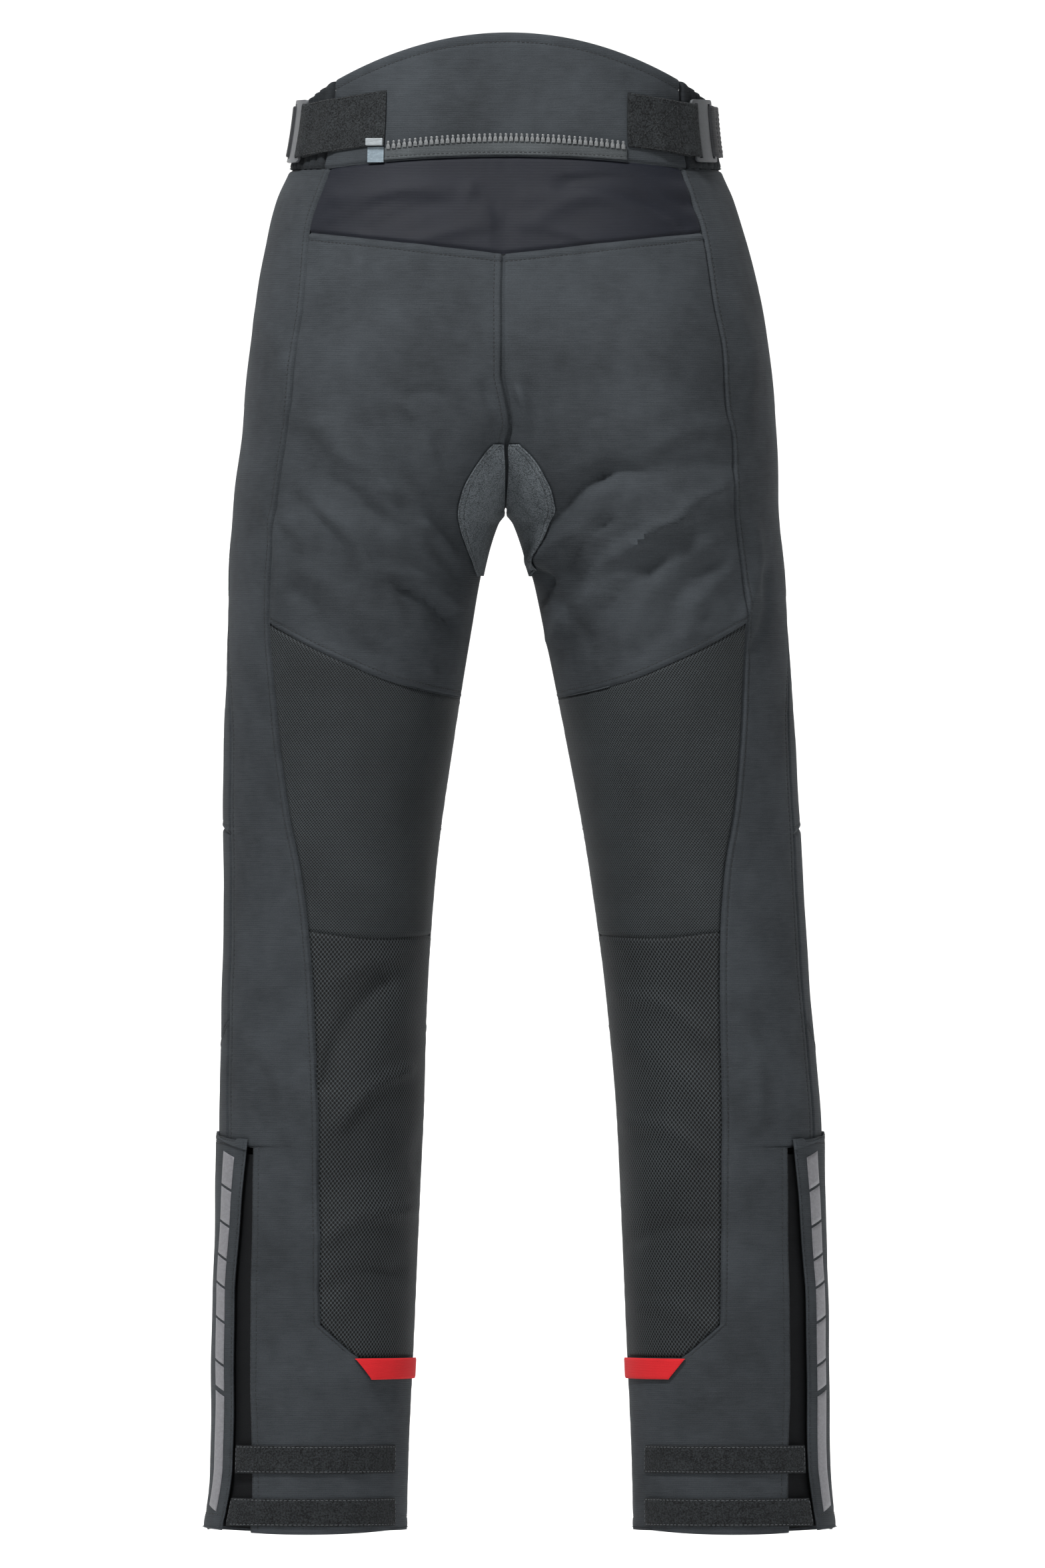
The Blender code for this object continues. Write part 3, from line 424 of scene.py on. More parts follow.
def crease(x, z, back, fold):
    """How far one fold lifts the cloth at each place."""
    face, x0, z0, x1, z1, width, rise = fold
    run = np.array([x1 - x0, z1 - z0], float)
    length = np.hypot(*run)
    along = ((x - x0) * run[0] + (z - z0) * run[1]) / length
    across = ((z - z0) * run[0] - (x - x0) * run[1]) / length
    if width < FINE_FOLD:
        across = across - FOLD_BOW * length * np.sin(np.clip(along / length, 0, 1) * math.pi)
        width, rise = FINE_WIDTH * width, FINE_RISE * rise
    past = np.maximum(np.maximum(-along, along - length), 0)
    here = back if face < 0 else 1 - back
    return rise * here * np.exp(-((across / width) ** 2) - (past / (FOLD_FADE * width)) ** 2)


def ease(x, z):
    """The slow unevenness of worn cloth."""
    return (0.85 * np.sin(x / 31 + 1.7 * np.sin(z / 83)) * np.sin(z / 47 + 0.9 * np.sin(x / 29))
            + 0.34 * np.sin(x / 13 + z / 19 + 2.1) * np.sin(z / 23 - x / 37))


def wander(x, z):
    """The sideways shift of the cloth beside the centre seam."""
    return np.interp(z, HEIGHTS, WANDER_AT) * np.exp(-((x / WANDER_REACH) ** 2))


def shape(side, u, z):
    """World points of the outside of the cloth."""
    side, u, z = np.broadcast_arrays(np.asarray(side, float), np.asarray(u, float),
                                     np.asarray(z, float))
    x, y = ring(u, z)
    step = 0.004
    tangent = ring(np.minimum(u + step, 1), z) - ring(np.maximum(u - step, 0), z)
    tangent = tangent / np.maximum(np.hypot(*tangent), 1e-9)
    world_x = side * x + drift(z)
    back = 1 / (1 + np.exp((u - 0.5) * SIDE_CHANGE))
    uneven = ease(world_x + EASE_SHIFT * (u > 0.5), z)
    lift = sum(crease(world_x, z, back, fold) for fold in FOLDS)
    lift = lift + uneven * np.clip((EASE_TOP - z) / EASE_GROWTH, 0, 1)
    lift = lift * np.clip(np.minimum(u, 1 - u) / FLAT_ENDS, 0, 1) ** 1.5
    aside = drift(z) + np.where(u < 0.5, wander(x, z), 0)
    return np.stack([side * (x + tangent[1] * lift) + aside, y - tangent[0] * lift, z], -1)


def surface(side, u, z, lift=0.0):
    """Points of the surface moved out by lift, and the outward normals there."""
    side, u, z = np.broadcast_arrays(np.asarray(side, float), np.asarray(u, float),
                                     np.asarray(z, float))
    step_u, step_z = 0.0025, 0.8
    along_u = shape(side, np.minimum(u + step_u, 1), z) - shape(side, np.maximum(u - step_u, 0), z)
    along_z = shape(side, u, z + step_z) - shape(side, u, z - step_z)
    normal = np.cross(along_u, along_z) * side[..., None]
    normal /= np.maximum(np.linalg.norm(normal, axis=-1, keepdims=True), 1e-9)
    return shape(side, u, z) + normal * np.asarray(lift, float)[..., None], normal


def girth_at(x, z, front=False):
    """The u at which the half section at height z has this x, on the back or on the front."""
    x, z = np.broadcast_arrays(np.asarray(x, float), np.asarray(z, float))
    low, high = np.zeros(x.shape), np.full(x.shape, 0.5)
    for _ in range(24):
        middle = (low + high) / 2
        reached = ring(1 - middle if front else middle, z)[0].reshape(x.shape) < x
        low = np.where(reached, middle, low)
        high = np.where(reached, high, middle)
    return 1 - low if front else low


# The way round from the centre back, for steps of the girth in rows 5 mm apart
GIRTH_STEPS = 240
ROW_STEP = 5.0
COARSE = HEIGHTS[::10]
GIRTHS = np.linspace(0, 1, GIRTH_STEPS + 1)[None, :]
WALK = np.hypot(*np.diff(ring(GIRTHS, COARSE[:, None] * np.ones_like(GIRTHS)), axis=2))
ROUND = np.concatenate([np.zeros((len(COARSE), 1)), np.cumsum(WALK, axis=1)], axis=1)


def laid_out(u, z):
    """Each place on the flat cloth, in metres: the way round from the centre back, and the height."""
    row = np.clip((z - COARSE[0]) / ROW_STEP, 0, len(COARSE) - 1.001)
    column = np.clip(u * GIRTH_STEPS, 0, GIRTH_STEPS - 0.001)
    r, c = np.floor(row).astype(int), np.floor(column).astype(int)
    a, b = row - r, column - c
    way = ((ROUND[r, c] * (1 - b) + ROUND[r, c + 1] * b) * (1 - a)
           + (ROUND[r + 1, c] * (1 - b) + ROUND[r + 1, c + 1] * b) * a)
    return np.stack([way, z * np.ones_like(u)], -1) * METRE


# Edges that several panels share
def traced(edge):
    """The edge worked out once at every millimetre of height."""
    at = np.arange(-1000.0, 100.0, 1.0)
    found = edge(at)
    return lambda z: np.interp(z, at, found)


def girth(u):
    return lambda z: np.full_like(z, u)


def level(height):
    return lambda u, x: np.full_like(u, height)


def back_x(x):
    return traced(lambda z: girth_at(x, z))


side_seam = traced(lambda z: girth_at(smooth(SIDE_SEAM, z), z))
cut_corner = traced(lambda z: girth_at(straight(
    ((MESH_CORNER, SEAM_X), (MESH_END, CORNER_X), (HEM, CORNER_X + 4)), z), z))
outer_seam = traced(lambda z: smooth(OUTER_SEAM, z))
centre = girth(0.0)
front_centre = girth(1.0)


def side_panel_edge(z):
    return np.where(z > MESH_CORNER, side_seam(z), cut_corner(z))


def zip_edge(z):
    folded = straight(((ZIP_TOP - 8, 0.367), (-894, 0.360), (HEM, 0.346)), z)
    return np.where(z < ZIP_TOP - 4, folded, outer_seam(z))


def shin_edge(z):
    return np.where(z < ZIP_TOP - 4, 0.50, outer_seam(z))


def flap_edge(z):
    return straight(FLAP_EDGE, z)


def waist_seam(u, x):
    at_back = WAIST_FOOT * (np.minimum(x, KIDNEY_HALF) / KIDNEY_HALF) ** 2
    return np.where(u < 0.5, at_back, WAIST_FOOT)


def waist_top(u, x):
    over_kidneys = KIDNEY_RISE - 35.0 * (x / 126.0) ** 2
    to_side = 53.5 - 15.5 * (x - KIDNEY_HALF) / 21.0
    to_front = BAND_SIDE - (BAND_SIDE - BAND_FRONT) * np.sin(np.clip(u - 0.5, 0, 0.5) * math.pi)
    back = np.where(x < KIDNEY_HALF, over_kidneys, np.maximum(to_side, BAND_SIDE))
    return np.where(u < 0.5, back, to_front)


def yoke_seam(u, x):
    return YOKE_INNER + (YOKE_SIDE - YOKE_INNER) * x / 142.0


def thigh_seam(u, x):
    return smooth(THIGH_SEAM, x)


def knee_seam(u, x):
    return smooth(KNEE_SEAM, x)


def mesh_end(u, x):
    return straight(((CORNER_X, MESH_END), (SEAM_X, MESH_CORNER)), x)


def flap_top(u, x):
    return -700.0 - 13.0 * np.clip((0.5 - u) / 0.13, 0, 1)


def hem(u, x):
    return HEM + 2.0 * np.cos(4 * math.pi * u)


def knee_top(u, x):
    return KNEE_TOP + 14.0 * np.sin((u - 0.445) / 0.555 * math.pi)


def knee_bottom(u, x):
    return KNEE_FOOT - 52.0 * np.sin((u - 0.4435) / 0.5565 * math.pi)


# Grids
LEAST_CELL = 0.3
# How far from its top and bottom a grid's rows bend to follow those seams
BEND = 55.0


def spaced(start, end, stops=(), cell=CELL):
    """Places from start to end, close together near both, with the stops among them."""
    way = 1 if end > start else -1
    span = abs(end - start)
    near = [d for d in EDGE_STEPS if d < span / 2]
    at = sorted({0.0, span, *near, *(span - d for d in near), *(abs(s - start) for s in stops)})
    places = [0.0]
    for a, b in zip(at, at[1:]):
        count = max(1, math.ceil((b - a) / cell - 0.01))
        places += [a + (b - a) * i / count for i in range(1, count + 1)]
    kept = [places[0]]
    fixed = {round(abs(s - start), 6) for s in stops}
    for place in places[1:]:
        if place - kept[-1] > LEAST_CELL or round(place, 6) in fixed:
            kept.append(place)
    kept[-1] = span
    return start + way * np.array(kept)


def patch(side, left, right, top, bottom, width, left_rows, right_rows=None, cell=CELL):
    """side, u and z of a grid between two edges given as u at a height and two as z at (u, x)."""
    right_rows = left_rows if right_rows is None else right_rows
    s = (spaced(0.0, width, cell=cell) / width)[None, :]
    ends = []
    for edge, heights in ((left, left_rows), (right, right_rows)):
        heights = np.array(heights, float)
        for end, seam in ((0, top), (-1, bottom)):
            for _ in range(8):
                u = edge(heights[[end]])
                heights[end] = seam(u, ring(u, heights[end])[0])[0]
        ends.append(heights[:, None])
    even = ends[0] * (1 - s) + ends[1] * s
    from_top = np.clip(1 - (even[:1] - even) / BEND, 0, 1)
    from_bottom = np.clip(1 - (even - even[-1:]) / BEND, 0, 1)
    z = even
    for _ in range(12):
        u = left(z) * (1 - s) + right(z) * s
        x = ring(u, z)[0]
        above = top(u[:1], x[:1]) - even[:1]
        below = bottom(u[-1:], x[-1:]) - even[-1:]
        z = even + above * from_top + below * from_bottom
        z[0], z[-1] = (even + above)[0], (even + below)[-1]
    return side * np.ones_like(u), u, z


def across_back(edge, top, bottom, half_width, heights):
    """Like patch, over both halves of the back, out to an edge given as u at a height."""
    half = spaced(0.0, half_width) / half_width
    w = np.concatenate([-half[:0:-1], half])[None, :]
    t = ((heights - heights[0]) / (heights[-1] - heights[0]))[:, None]
    z = np.broadcast_to(heights[:, None], (len(heights), w.shape[1])).astype(float)
    for _ in range(14):
        u = np.abs(w) * edge(z)
        x = ring(u, z)[0]
        z = top(u, x) * (1 - t) + bottom(u, x) * t
    return np.where(w < 0, -1.0, 1.0) * np.ones_like(u), u, z


class Edge:
    """How a panel's edge is finished: sewn down into a seam, turned, or running on."""

    def __init__(self, kind, *stitched, above=-9999.0, below=9999.0):
        self.kind, self.stitched, self.above, self.below = kind, stitched, above, below


PLAIN = Edge("none")
# Depth and reach of the groove at a seam up the leg, at a seam across it and at a turned edge
GROOVE_UP = (2.0, 1.3)
GROOVE_ACROSS = (1.5, 1.5)
TURN_DOWN = (0.55, 0.8)
# The same of the dip along a row of stitches, and the swell between two rows
STITCH_DIP = (0.42, 0.85)
SWELL = 0.30


def dip(far, depth, reach):
    return depth * np.exp(-((far / reach) ** 2))


def seam(*stitched, **where):
    return Edge("seam", *stitched, **where)


def turned(*stitched):
    return Edge("turned", *stitched)


def seamed(**others):
    """The four edges as plain seams, but for those that are given."""
    return {"left": seam(), "right": seam(), "top": seam(), "bottom": seam(), **others}


def turned_all(*stitched):
    """The four edges turned under alike."""
    return {name: turned(*stitched) for name in ("left", "right", "top", "bottom")}


class Panel:
    """A grid of points on the cloth with the finish of its four edges worked into it."""

    def __init__(self, place, lift=0.0, edges=(), pucker=0.22):
        self.side, self.u, self.z = place
        lift = np.broadcast_to(np.asarray(lift, float), self.u.shape)
        self.points, self.normals = surface(self.side, self.u, self.z, lift)
        self.flat = laid_out(self.u, self.z)
        self.flat[..., 0] *= self.side
        self.edges = {"left": PLAIN, "right": PLAIN, "top": PLAIN, "bottom": PLAIN, **dict(edges)}
        across = np.linalg.norm(np.diff(self.points, axis=1), axis=-1)
        down = np.linalg.norm(np.diff(self.points, axis=0), axis=-1)
        start = np.concatenate([np.zeros((len(across), 1)), np.cumsum(across, axis=1)], axis=1)
        above = np.concatenate([np.zeros((1, down.shape[1])), np.cumsum(down, axis=0)])
        self.far = {"left": start, "right": start[:, -1:] - start,
                    "top": above, "bottom": above[-1:] - above}
        relief = sum(self.finish(name, pucker) for name in self.edges)
        self.points = self.points + self.normals * relief[..., None]
        middle = (np.minimum(self.u, 1 - self.u) < 1e-6) & (self.z > FORK)
        height = self.z[middle]
        sideways = np.where(self.u[middle] < 0.5, wander(0.0, height), 0)
        self.points[middle, 0] = drift(height) + sideways

    def finish(self, name, pucker):
        """How far one edge's seam, stitching and puckers move the cloth."""
        edge, far = self.edges[name], self.far[name]
        along = self.far["top"] if name in ("left", "right") else self.far["left"]
        lift = np.zeros_like(far)
        if edge.kind == "seam":
            lift -= dip(far, *(GROOVE_UP if name in ("left", "right") else GROOVE_ACROSS))
            wave = np.sin(along / 2.3 + 1.9 * np.sin(along / 9.7)) * np.sin(along / 21 + 1.3)
            lift += pucker * wave * np.exp(-far / 6.0) * (1 - np.exp(-far / 1.5))
        elif edge.kind == "turned":
            lift -= dip(far, *TURN_DOWN)
        for row in edge.stitched:
            lift -= dip(far - row, *STITCH_DIP)
        if edge.stitched:
            middle = edge.stitched[0] / 2
            lift += dip(far - middle, SWELL, middle * 0.7)
        lift *= (self.z > edge.above) & (self.z < edge.below)
        return lift

    def sewn(self):
        """The stitch rows as lists of (points, normals)."""
        rows = []
        for name, edge in self.edges.items():
            for distance in edge.stitched:
                points, normals = self.beside(name, distance)
                height = points[:, 2]
                kept = (height > edge.above) & (height < edge.below)
                if kept.sum() > 2:
                    rows.append((points[kept], normals[kept]))
        return rows

    def beside(self, name, distance):
        """The line at a distance inside one edge."""
        points, normals, far = self.points, self.normals, self.far[name]
        if name in ("top", "bottom"):
            points, normals, far = points.swapaxes(0, 1), normals.swapaxes(0, 1), far.T
        if name in ("right", "bottom"):
            points, normals, far = points[:, ::-1], normals[:, ::-1], far[:, ::-1]
        line, out = [], []
        for row, way, reach in zip(points, normals, far):
            if reach[-1] > 1.6 * distance:
                line.append([np.interp(distance, reach, row[:, i]) for i in range(3)])
                out.append([np.interp(distance, reach, way[:, i]) for i in range(3)])
        return np.array(line), np.array(out)


# Objects
def deselect():
    for item in bpy.context.selected_objects:
        item.select_set(False)


def placed(name, points, faces, uv=None):
    """A mesh object at the origin from points in millimetres."""
    mesh = bpy.data.meshes.new(name)
    mesh.from_pydata((np.asarray(points) * METRE).tolist(), [], [list(map(int, f)) for f in faces])
    if uv is not None:
        layer = mesh.uv_layers.new(name="cloth")
        index = np.zeros(len(mesh.loops), int)
        mesh.loops.foreach_get("vertex_index", index)
        layer.data.foreach_set("uv", np.asarray(uv, float)[index].ravel())
    made = bpy.data.objects.new(name, mesh)
    bpy.context.scene.collection.objects.link(made)
    return made


def applied(piece, kind, **settings):
    """The piece with one modifier applied."""
    deselect()
    bpy.context.view_layer.objects.active = piece
    piece.select_set(True)
    modifier = piece.modifiers.new(kind.lower(), kind)
    for key, value in settings.items():
        setattr(modifier, key, value)
    bpy.ops.object.modifier_apply(modifier=modifier.name)
    return piece


def rounded(piece, width, segments, angle):
    """Round the edges sharper than an angle."""
    applied(piece, "BEVEL", width=width * METRE, segments=segments, limit_method="ANGLE",
            angle_limit=math.radians(angle))


def outward(piece):
    """Turn all the piece's faces to the outside."""
    body = bmesh.new()
    body.from_mesh(piece.data)
    bmesh.ops.recalc_face_normals(body, faces=body.faces)
    body.to_mesh(piece.data)
    body.free()


def dress(piece, material, *nodes, slot=None):
    """Give a piece its material, hang it on the root and hide the nodes it replaces; the slot is not
    used.
    """
    piece.data.materials.clear()
    piece.data.materials.append(MATERIALS[material])
    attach(piece, "root")
    if nodes:
        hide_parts(*nodes)


def moulded(piece, material, *nodes, slot=None):
    """Smooth shading with sharp corners, and the rest of a firm piece's dress."""
    piece.data.shade_smooth()
    piece.data.set_sharp_from_angle(angle=math.radians(50))
    dress(piece, material, *nodes, slot=slot)


def woven(grids, side):
    """Points, faces and flat places of grids that share their edges."""
    points, uv, faces, start = [], [], [], 0
    for grid, flat in grids:
        rows, columns = grid.shape[:2]
        place = start + np.arange(rows * columns).reshape(rows, columns)
        corners = np.stack([place[:-1, :-1], place[1:, :-1], place[1:, 1:], place[:-1, 1:]], -1)
        faces.append(corners.reshape(-1, 4) if side > 0 else corners.reshape(-1, 4)[:, ::-1])
        points.append(grid.reshape(-1, 3))
        uv.append(flat.reshape(-1, 2))
        start += rows * columns
    return np.concatenate(points), np.concatenate(faces), np.concatenate(uv)


def cloth(name, panels, side, material, thick=CLOTH, slot=None, thread="thread"):
    """A wall of cloth on the panels' points, with its stitching as a piece of its own."""
    points, faces, uv = woven([(p.points, p.flat) for p in panels], side)
    piece = placed(name + "_cloth", points, faces, uv)
    body = bmesh.new()
    body.from_mesh(piece.data)
    bmesh.ops.remove_doubles(body, verts=body.verts, dist=0.02 * METRE)
    bmesh.ops.dissolve_degenerate(body, edges=body.edges, dist=0.005 * METRE)
    body.to_mesh(piece.data)
    body.free()
    piece.data.shade_smooth()
    applied(piece, "SOLIDIFY", thickness=thick * METRE, offset=-1.0)
    piece.data.set_sharp_from_angle(angle=math.radians(60))
    dress(piece, material, name, slot=slot)
    rows = [row for panel in panels for row in panel.sewn()]
    declare(name, stitching(name + "_stitching", rows, thread) if rows else None)
    return piece


def declare(name, threads=None):
    """Split the side off the piece's name; nothing is done with the stem."""
    stem, _, end = name.rpartition("_")
    if end not in ("left", "right"):
        stem = name


STITCH = 2.5
STITCH_STEP = 3.3
STITCH_RADIUS = 0.27
STITCH_RISE = 0.12
STITCH_SINK = 0.25


def stitching(name, rows, thread="thread"):
    """Stitches along rows of (points, normals), each a small pointed bead."""
    points, faces = [], []
    for line, out in rows:
        length = np.concatenate([[0], np.cumsum(np.linalg.norm(np.diff(line, axis=0), axis=1))])
        places = np.arange(STITCH_STEP, length[-1] - STITCH_STEP, STITCH_STEP)
        if not len(places):
            continue
        at = np.stack([np.interp(places, length, line[:, i]) for i in range(3)], -1)
        ahead = np.stack([np.interp(places + 0.5, length, line[:, i]) for i in range(3)], -1)
        normal = np.stack([np.interp(places, length, out[:, i]) for i in range(3)], -1)
        way = ahead - at
        way /= np.maximum(np.linalg.norm(way, axis=1, keepdims=True), 1e-9)
        normal /= np.maximum(np.linalg.norm(normal, axis=1, keepdims=True), 1e-9)
        beside = np.cross(way, normal)
        for centre_point, along, up, across in zip(at, way, normal, beside):
            start = len(points)
            middle = centre_point + up * STITCH_RISE
            points.append(middle - along * STITCH / 2 - up * STITCH_SINK)
            for reach in (-0.3, 0.3):
                for a, b in ((1, 0), (0, 1), (-1, 0), (0, -1)):
                    points.append(middle + along * STITCH * reach
                                  + (across * a + up * b) * STITCH_RADIUS)
            points.append(middle + along * STITCH / 2 - up * STITCH_SINK)
            for i in range(4):
                j = (i + 1) % 4
                faces.append((start, start + 1 + j, start + 1 + i))
                faces.append((start + 1 + i, start + 1 + j, start + 5 + j, start + 5 + i))
                faces.append((start + 9, start + 5 + i, start + 5 + j))
    piece = placed(name, points, faces)
    outward(piece)
    piece.data.shade_smooth()
    dress(piece, thread, slot="thread")
    return piece


# Materials
SHINE = "Specular IOR Level"


class Value:
    """A socket that Python's operators work on: each one adds its Math node."""

    def __init__(self, look, socket):
        self.look, self.socket = look, socket

    def math(self, operation, *others):
        values = {0: self, **{i + 1: other for i, other in enumerate(others)}}
        return self.look.node("ShaderNodeMath", {"operation": operation}, values)[0]

    def __add__(self, other):
        return self.math("ADD", other)

    def __sub__(self, other):
        return self.math("SUBTRACT", other)

    def __mul__(self, other):
        return self.math("MULTIPLY", other)

    def __truediv__(self, other):
        return self.math("DIVIDE", other)

    def wave(self):
        """0 to 1 and back once for each whole number."""
        return (self * (2 * math.pi)).math("SINE") * 0.5 + 0.5

    def step(self, low, high):
        """0 below low, 1 above high, and smooth between."""
        return self.look.node("ShaderNodeMapRange", {"interpolation_type": "SMOOTHSTEP"},
                              {"Value": self, "From Min": low, "From Max": high})[0]


class Outputs:
    def __init__(self, look, made):
        self.look, self.made = look, made

    def __getitem__(self, key):
        return Value(self.look, self.made.outputs[key])


class Look:
    """A material's node tree with the cloth's own places and a few patterns on them."""

    def __init__(self, name, roughness, settings):
        self.material = bpy.data.materials.new(name)
        self.material.use_nodes = True
        self.tree = self.material.node_tree
        self.shader = self.tree.nodes["Principled BSDF"]
        self.shader.inputs["Roughness"].default_value = roughness
        for key, value in settings.items():
            self.shader.inputs[key].default_value = value

    def node(self, kind, settings=(), values=()):
        made = self.tree.nodes.new(kind)
        for key, value in dict(settings).items():
            setattr(made, key, value)
        for key, value in dict(values).items():
            if isinstance(value, Value):
                self.tree.links.new(value.socket, made.inputs[key])
            else:
                made.inputs[key].default_value = value
        return Outputs(self, made)

    def cloth_places(self):
        """How far round and how high each place is on the flat cloth, in millimetres."""
        uv = self.node("ShaderNodeUVMap", {"uv_map": "cloth"})["UV"]
        parts = self.node("ShaderNodeSeparateXYZ", (), {"Vector": uv})
        return parts["X"] * 1000.0, parts["Y"] * 1000.0

    def point(self, x, y, z=0.0):
        return self.node("ShaderNodeCombineXYZ", (), {"X": x, "Y": y, "Z": z})["Vector"]

    def object_places(self):
        """Where each place is on the object, in millimetres."""
        place = self.node("ShaderNodeTexCoord")["Object"]
        parts = self.node("ShaderNodeSeparateXYZ", (), {"Vector": place})
        return parts["X"] * 1000.0, parts["Y"] * 1000.0, parts["Z"] * 1000.0

    def grain(self, vector, detail=2.0, roughness=0.5):
        return self.node("ShaderNodeTexNoise", {"noise_dimensions": "3D"},
                         {"Vector": vector, "Scale": 1.0, "Detail": detail,
                          "Roughness": roughness})[0]

    def mixed(self, factor, first, second):
        made = self.node("ShaderNodeMix", {"data_type": "RGBA"}, {0: factor})
        for index, value in ((6, first), (7, second)):
            if isinstance(value, Value):
                self.tree.links.new(value.socket, made.made.inputs[index])
            else:
                made.made.inputs[index].default_value = (*value, 1.0)
        return Value(self, made.made.outputs[2])

    def colour(self, value):
        self.tree.links.new(value.socket, self.shader.inputs["Base Color"])

    def roughness(self, value):
        self.tree.links.new(value.socket, self.shader.inputs["Roughness"])

    def relief(self, height, depth, strength=1.0):
        """A bump of a height from 0 to 1, as deep as given in millimetres."""
        bump = self.node("ShaderNodeBump", (),
                         {"Height": height, "Distance": depth * METRE, "Strength": strength})[0]
        self.tree.links.new(bump.socket, self.shader.inputs["Normal"])


def scaled(colour, by):
    return tuple(min(1.0, c * by) for c in colour)


def woven_look(name, colour, roughness, pitch, contrast, slub, lines, shine):
    """A plain weave: yarns both ways at a pitch, with uneven yarns and slow worn patches."""
    look = Look(name, roughness, {SHINE: shine})
    across, up = look.cloth_places()
    x, y, z = look.object_places()
    weft = (up / pitch).wave()
    warp = (across / (pitch * 0.7)).wave()
    weave = weft * 0.7 + warp * 0.3
    yarn = look.grain(look.point(across * 0.07, up * 0.8, 0.0), 3.0, 0.6)
    speck = look.grain(look.point(across * 1.1, up * 1.1, 3.0), 2.0, 0.65)
    worn = look.grain(look.point(x * 0.017, y * 0.017, z * 0.017), 3.0, 0.55)
    cloudy = look.grain(look.point(x * 0.09, y * 0.09, z * 0.09), 2.0, 0.5)
    tone = (yarn * slub + speck * 0.8 + worn * 0.9 + cloudy * 0.35 + weave * lines
            + (-0.5 * (slub + 2.05 + lines)))
    shade = (tone * contrast + 0.5).step(0.0, 1.0)
    look.colour(look.mixed(shade, scaled(colour, 0.50), scaled(colour, 1.52)))
    look.relief(weave * 0.6 + yarn * 0.5 + speck * 0.4, 0.2, 0.8)
    return look


def holed_look(name, yarn_colour, hole_shade, pitch_x, pitch_z, hole_x, hole_z):
    """A knitted mesh: staggered rows of slim holes between puffed yarns, the holes coloured
    near-black as painted shade.
    """
    look = Look(name, 0.72, {SHINE: 0.2})
    across, up = look.cloth_places()
    waver = look.grain(look.point(across * 0.05, up * 0.05, 1.0), 1.0)
    across = across + (waver - 0.5) * 1.2

    def reach(shift):
        a = ((across / pitch_x + shift).math("FRACT") - 0.5) * (pitch_x / hole_x)
        b = ((up / pitch_z + shift).math("FRACT") - 0.5) * (pitch_z / hole_z)
        return (a * a + b * b).math("SQRT")

    far = reach(0.0).math("MINIMUM", reach(0.5))
    yarn = far.step(0.82, 1.25)
    speck = look.grain(look.point(across * 1.3, up * 1.6, 0.0), 2.0, 0.6)
    x, y, z = look.object_places()
    worn = look.grain(look.point(x * 0.02, y * 0.02, z * 0.02), 2.0, 0.5)
    lit = look.mixed((speck * 0.5 + worn * 0.5).step(0.25, 0.75), scaled(yarn_colour, 0.7),
                     scaled(yarn_colour, 1.3))
    # The holes get a near-black colour: painted shade inside each hole.
    look.colour(look.mixed(yarn, hole_shade, lit))
    look.relief(yarn * 0.8 + speck * 0.2, 0.5, 0.9)
    return look


def pile_look(name, dark, bright, size, depth, roughness, shine):
    """A napped or looped face: fine uneven tufts."""
    look = Look(name, roughness, {SHINE: shine})
    x, y, z = look.object_places()
    tuft = look.grain(look.point(x / size, y / size, z / size), 2.0, 0.6)
    patchy = look.grain(look.point(x * 0.12, y * 0.12, z * 0.12), 2.0, 0.5)
    shade = (tuft * 0.85 + patchy * 0.15).step(0.30, 0.72)
    look.colour(look.mixed(shade, dark, bright))
    look.relief(tuft, depth, 0.9)
    return look


def moulded_look(name, colour, roughness, settings):
    """Moulded plastic or enamel with faint flow and handling marks."""
    look = Look(name, roughness, settings)
    x, y, z = look.object_places()
    marks = look.grain(look.point(x * 0.25, y * 0.25, z * 0.6), 5.0, 0.65)
    fine = look.grain(look.point(x * 2.2, y * 2.2, z * 2.2), 3.0, 0.6)
    look.colour(look.mixed(marks.step(0.3, 0.75), scaled(colour, 0.82), scaled(colour, 1.2)))
    look.roughness(marks * 0.22 + fine * 0.10 + (roughness - 0.16))
    look.relief(fine, 0.05, 0.4)
    return look


WOVEN = {
    # colour, roughness, pitch, contrast, slub, lines, shine
    "twill": ((0.0262, 0.0300, 0.0338), 0.84, 1.4, 0.72, 0.5, 0.2, 0.14),
    "stretch": ((0.0055, 0.0066, 0.0108), 0.62, 0.62, 0.40, 0.3, 0.2, 0.2),
    "gusset": ((0.0050, 0.0055, 0.0062), 0.8, 0.62, 0.40, 0.3, 0.2, 0.1),
    "elastic": ((0.014, 0.016, 0.018), 0.88, 0.8, 0.7, 0.9, 0.2, 0.12),
    "webbing": ((0.013, 0.014, 0.016), 0.72, 1.4, 0.9, 0.4, 0.5, 0.3),
    "zip_tape": ((0.042, 0.047, 0.050), 0.82, 1.1, 0.8, 0.3, 0.5, 0.2),
    "red_cloth": ((0.45, 0.013, 0.017), 0.8, 0.8, 0.22, 0.4, 0.2, 0.15),
}
HOLED = {
    # yarn, painted hole shade, pitch across and up, half hole across and up
    "thigh_mesh": ((0.028, 0.033, 0.036), (0.0015, 0.0018, 0.002), 2.2, 2.3, 0.58, 0.56),
    "calf_mesh": ((0.031, 0.036, 0.039), (0.0012, 0.0015, 0.0017), 2.9, 3.5, 0.80, 1.04),
}
PILE = {
    # dark, bright, tuft, depth, roughness, shine
    "suede": ((0.022, 0.026, 0.029), (0.116, 0.130, 0.141), 0.9, 0.2, 0.9, 0.12),
    "hook_loop": ((0.0010, 0.0012, 0.0015), (0.022, 0.025, 0.027), 1.2, 0.7, 0.85, 0.2),
}
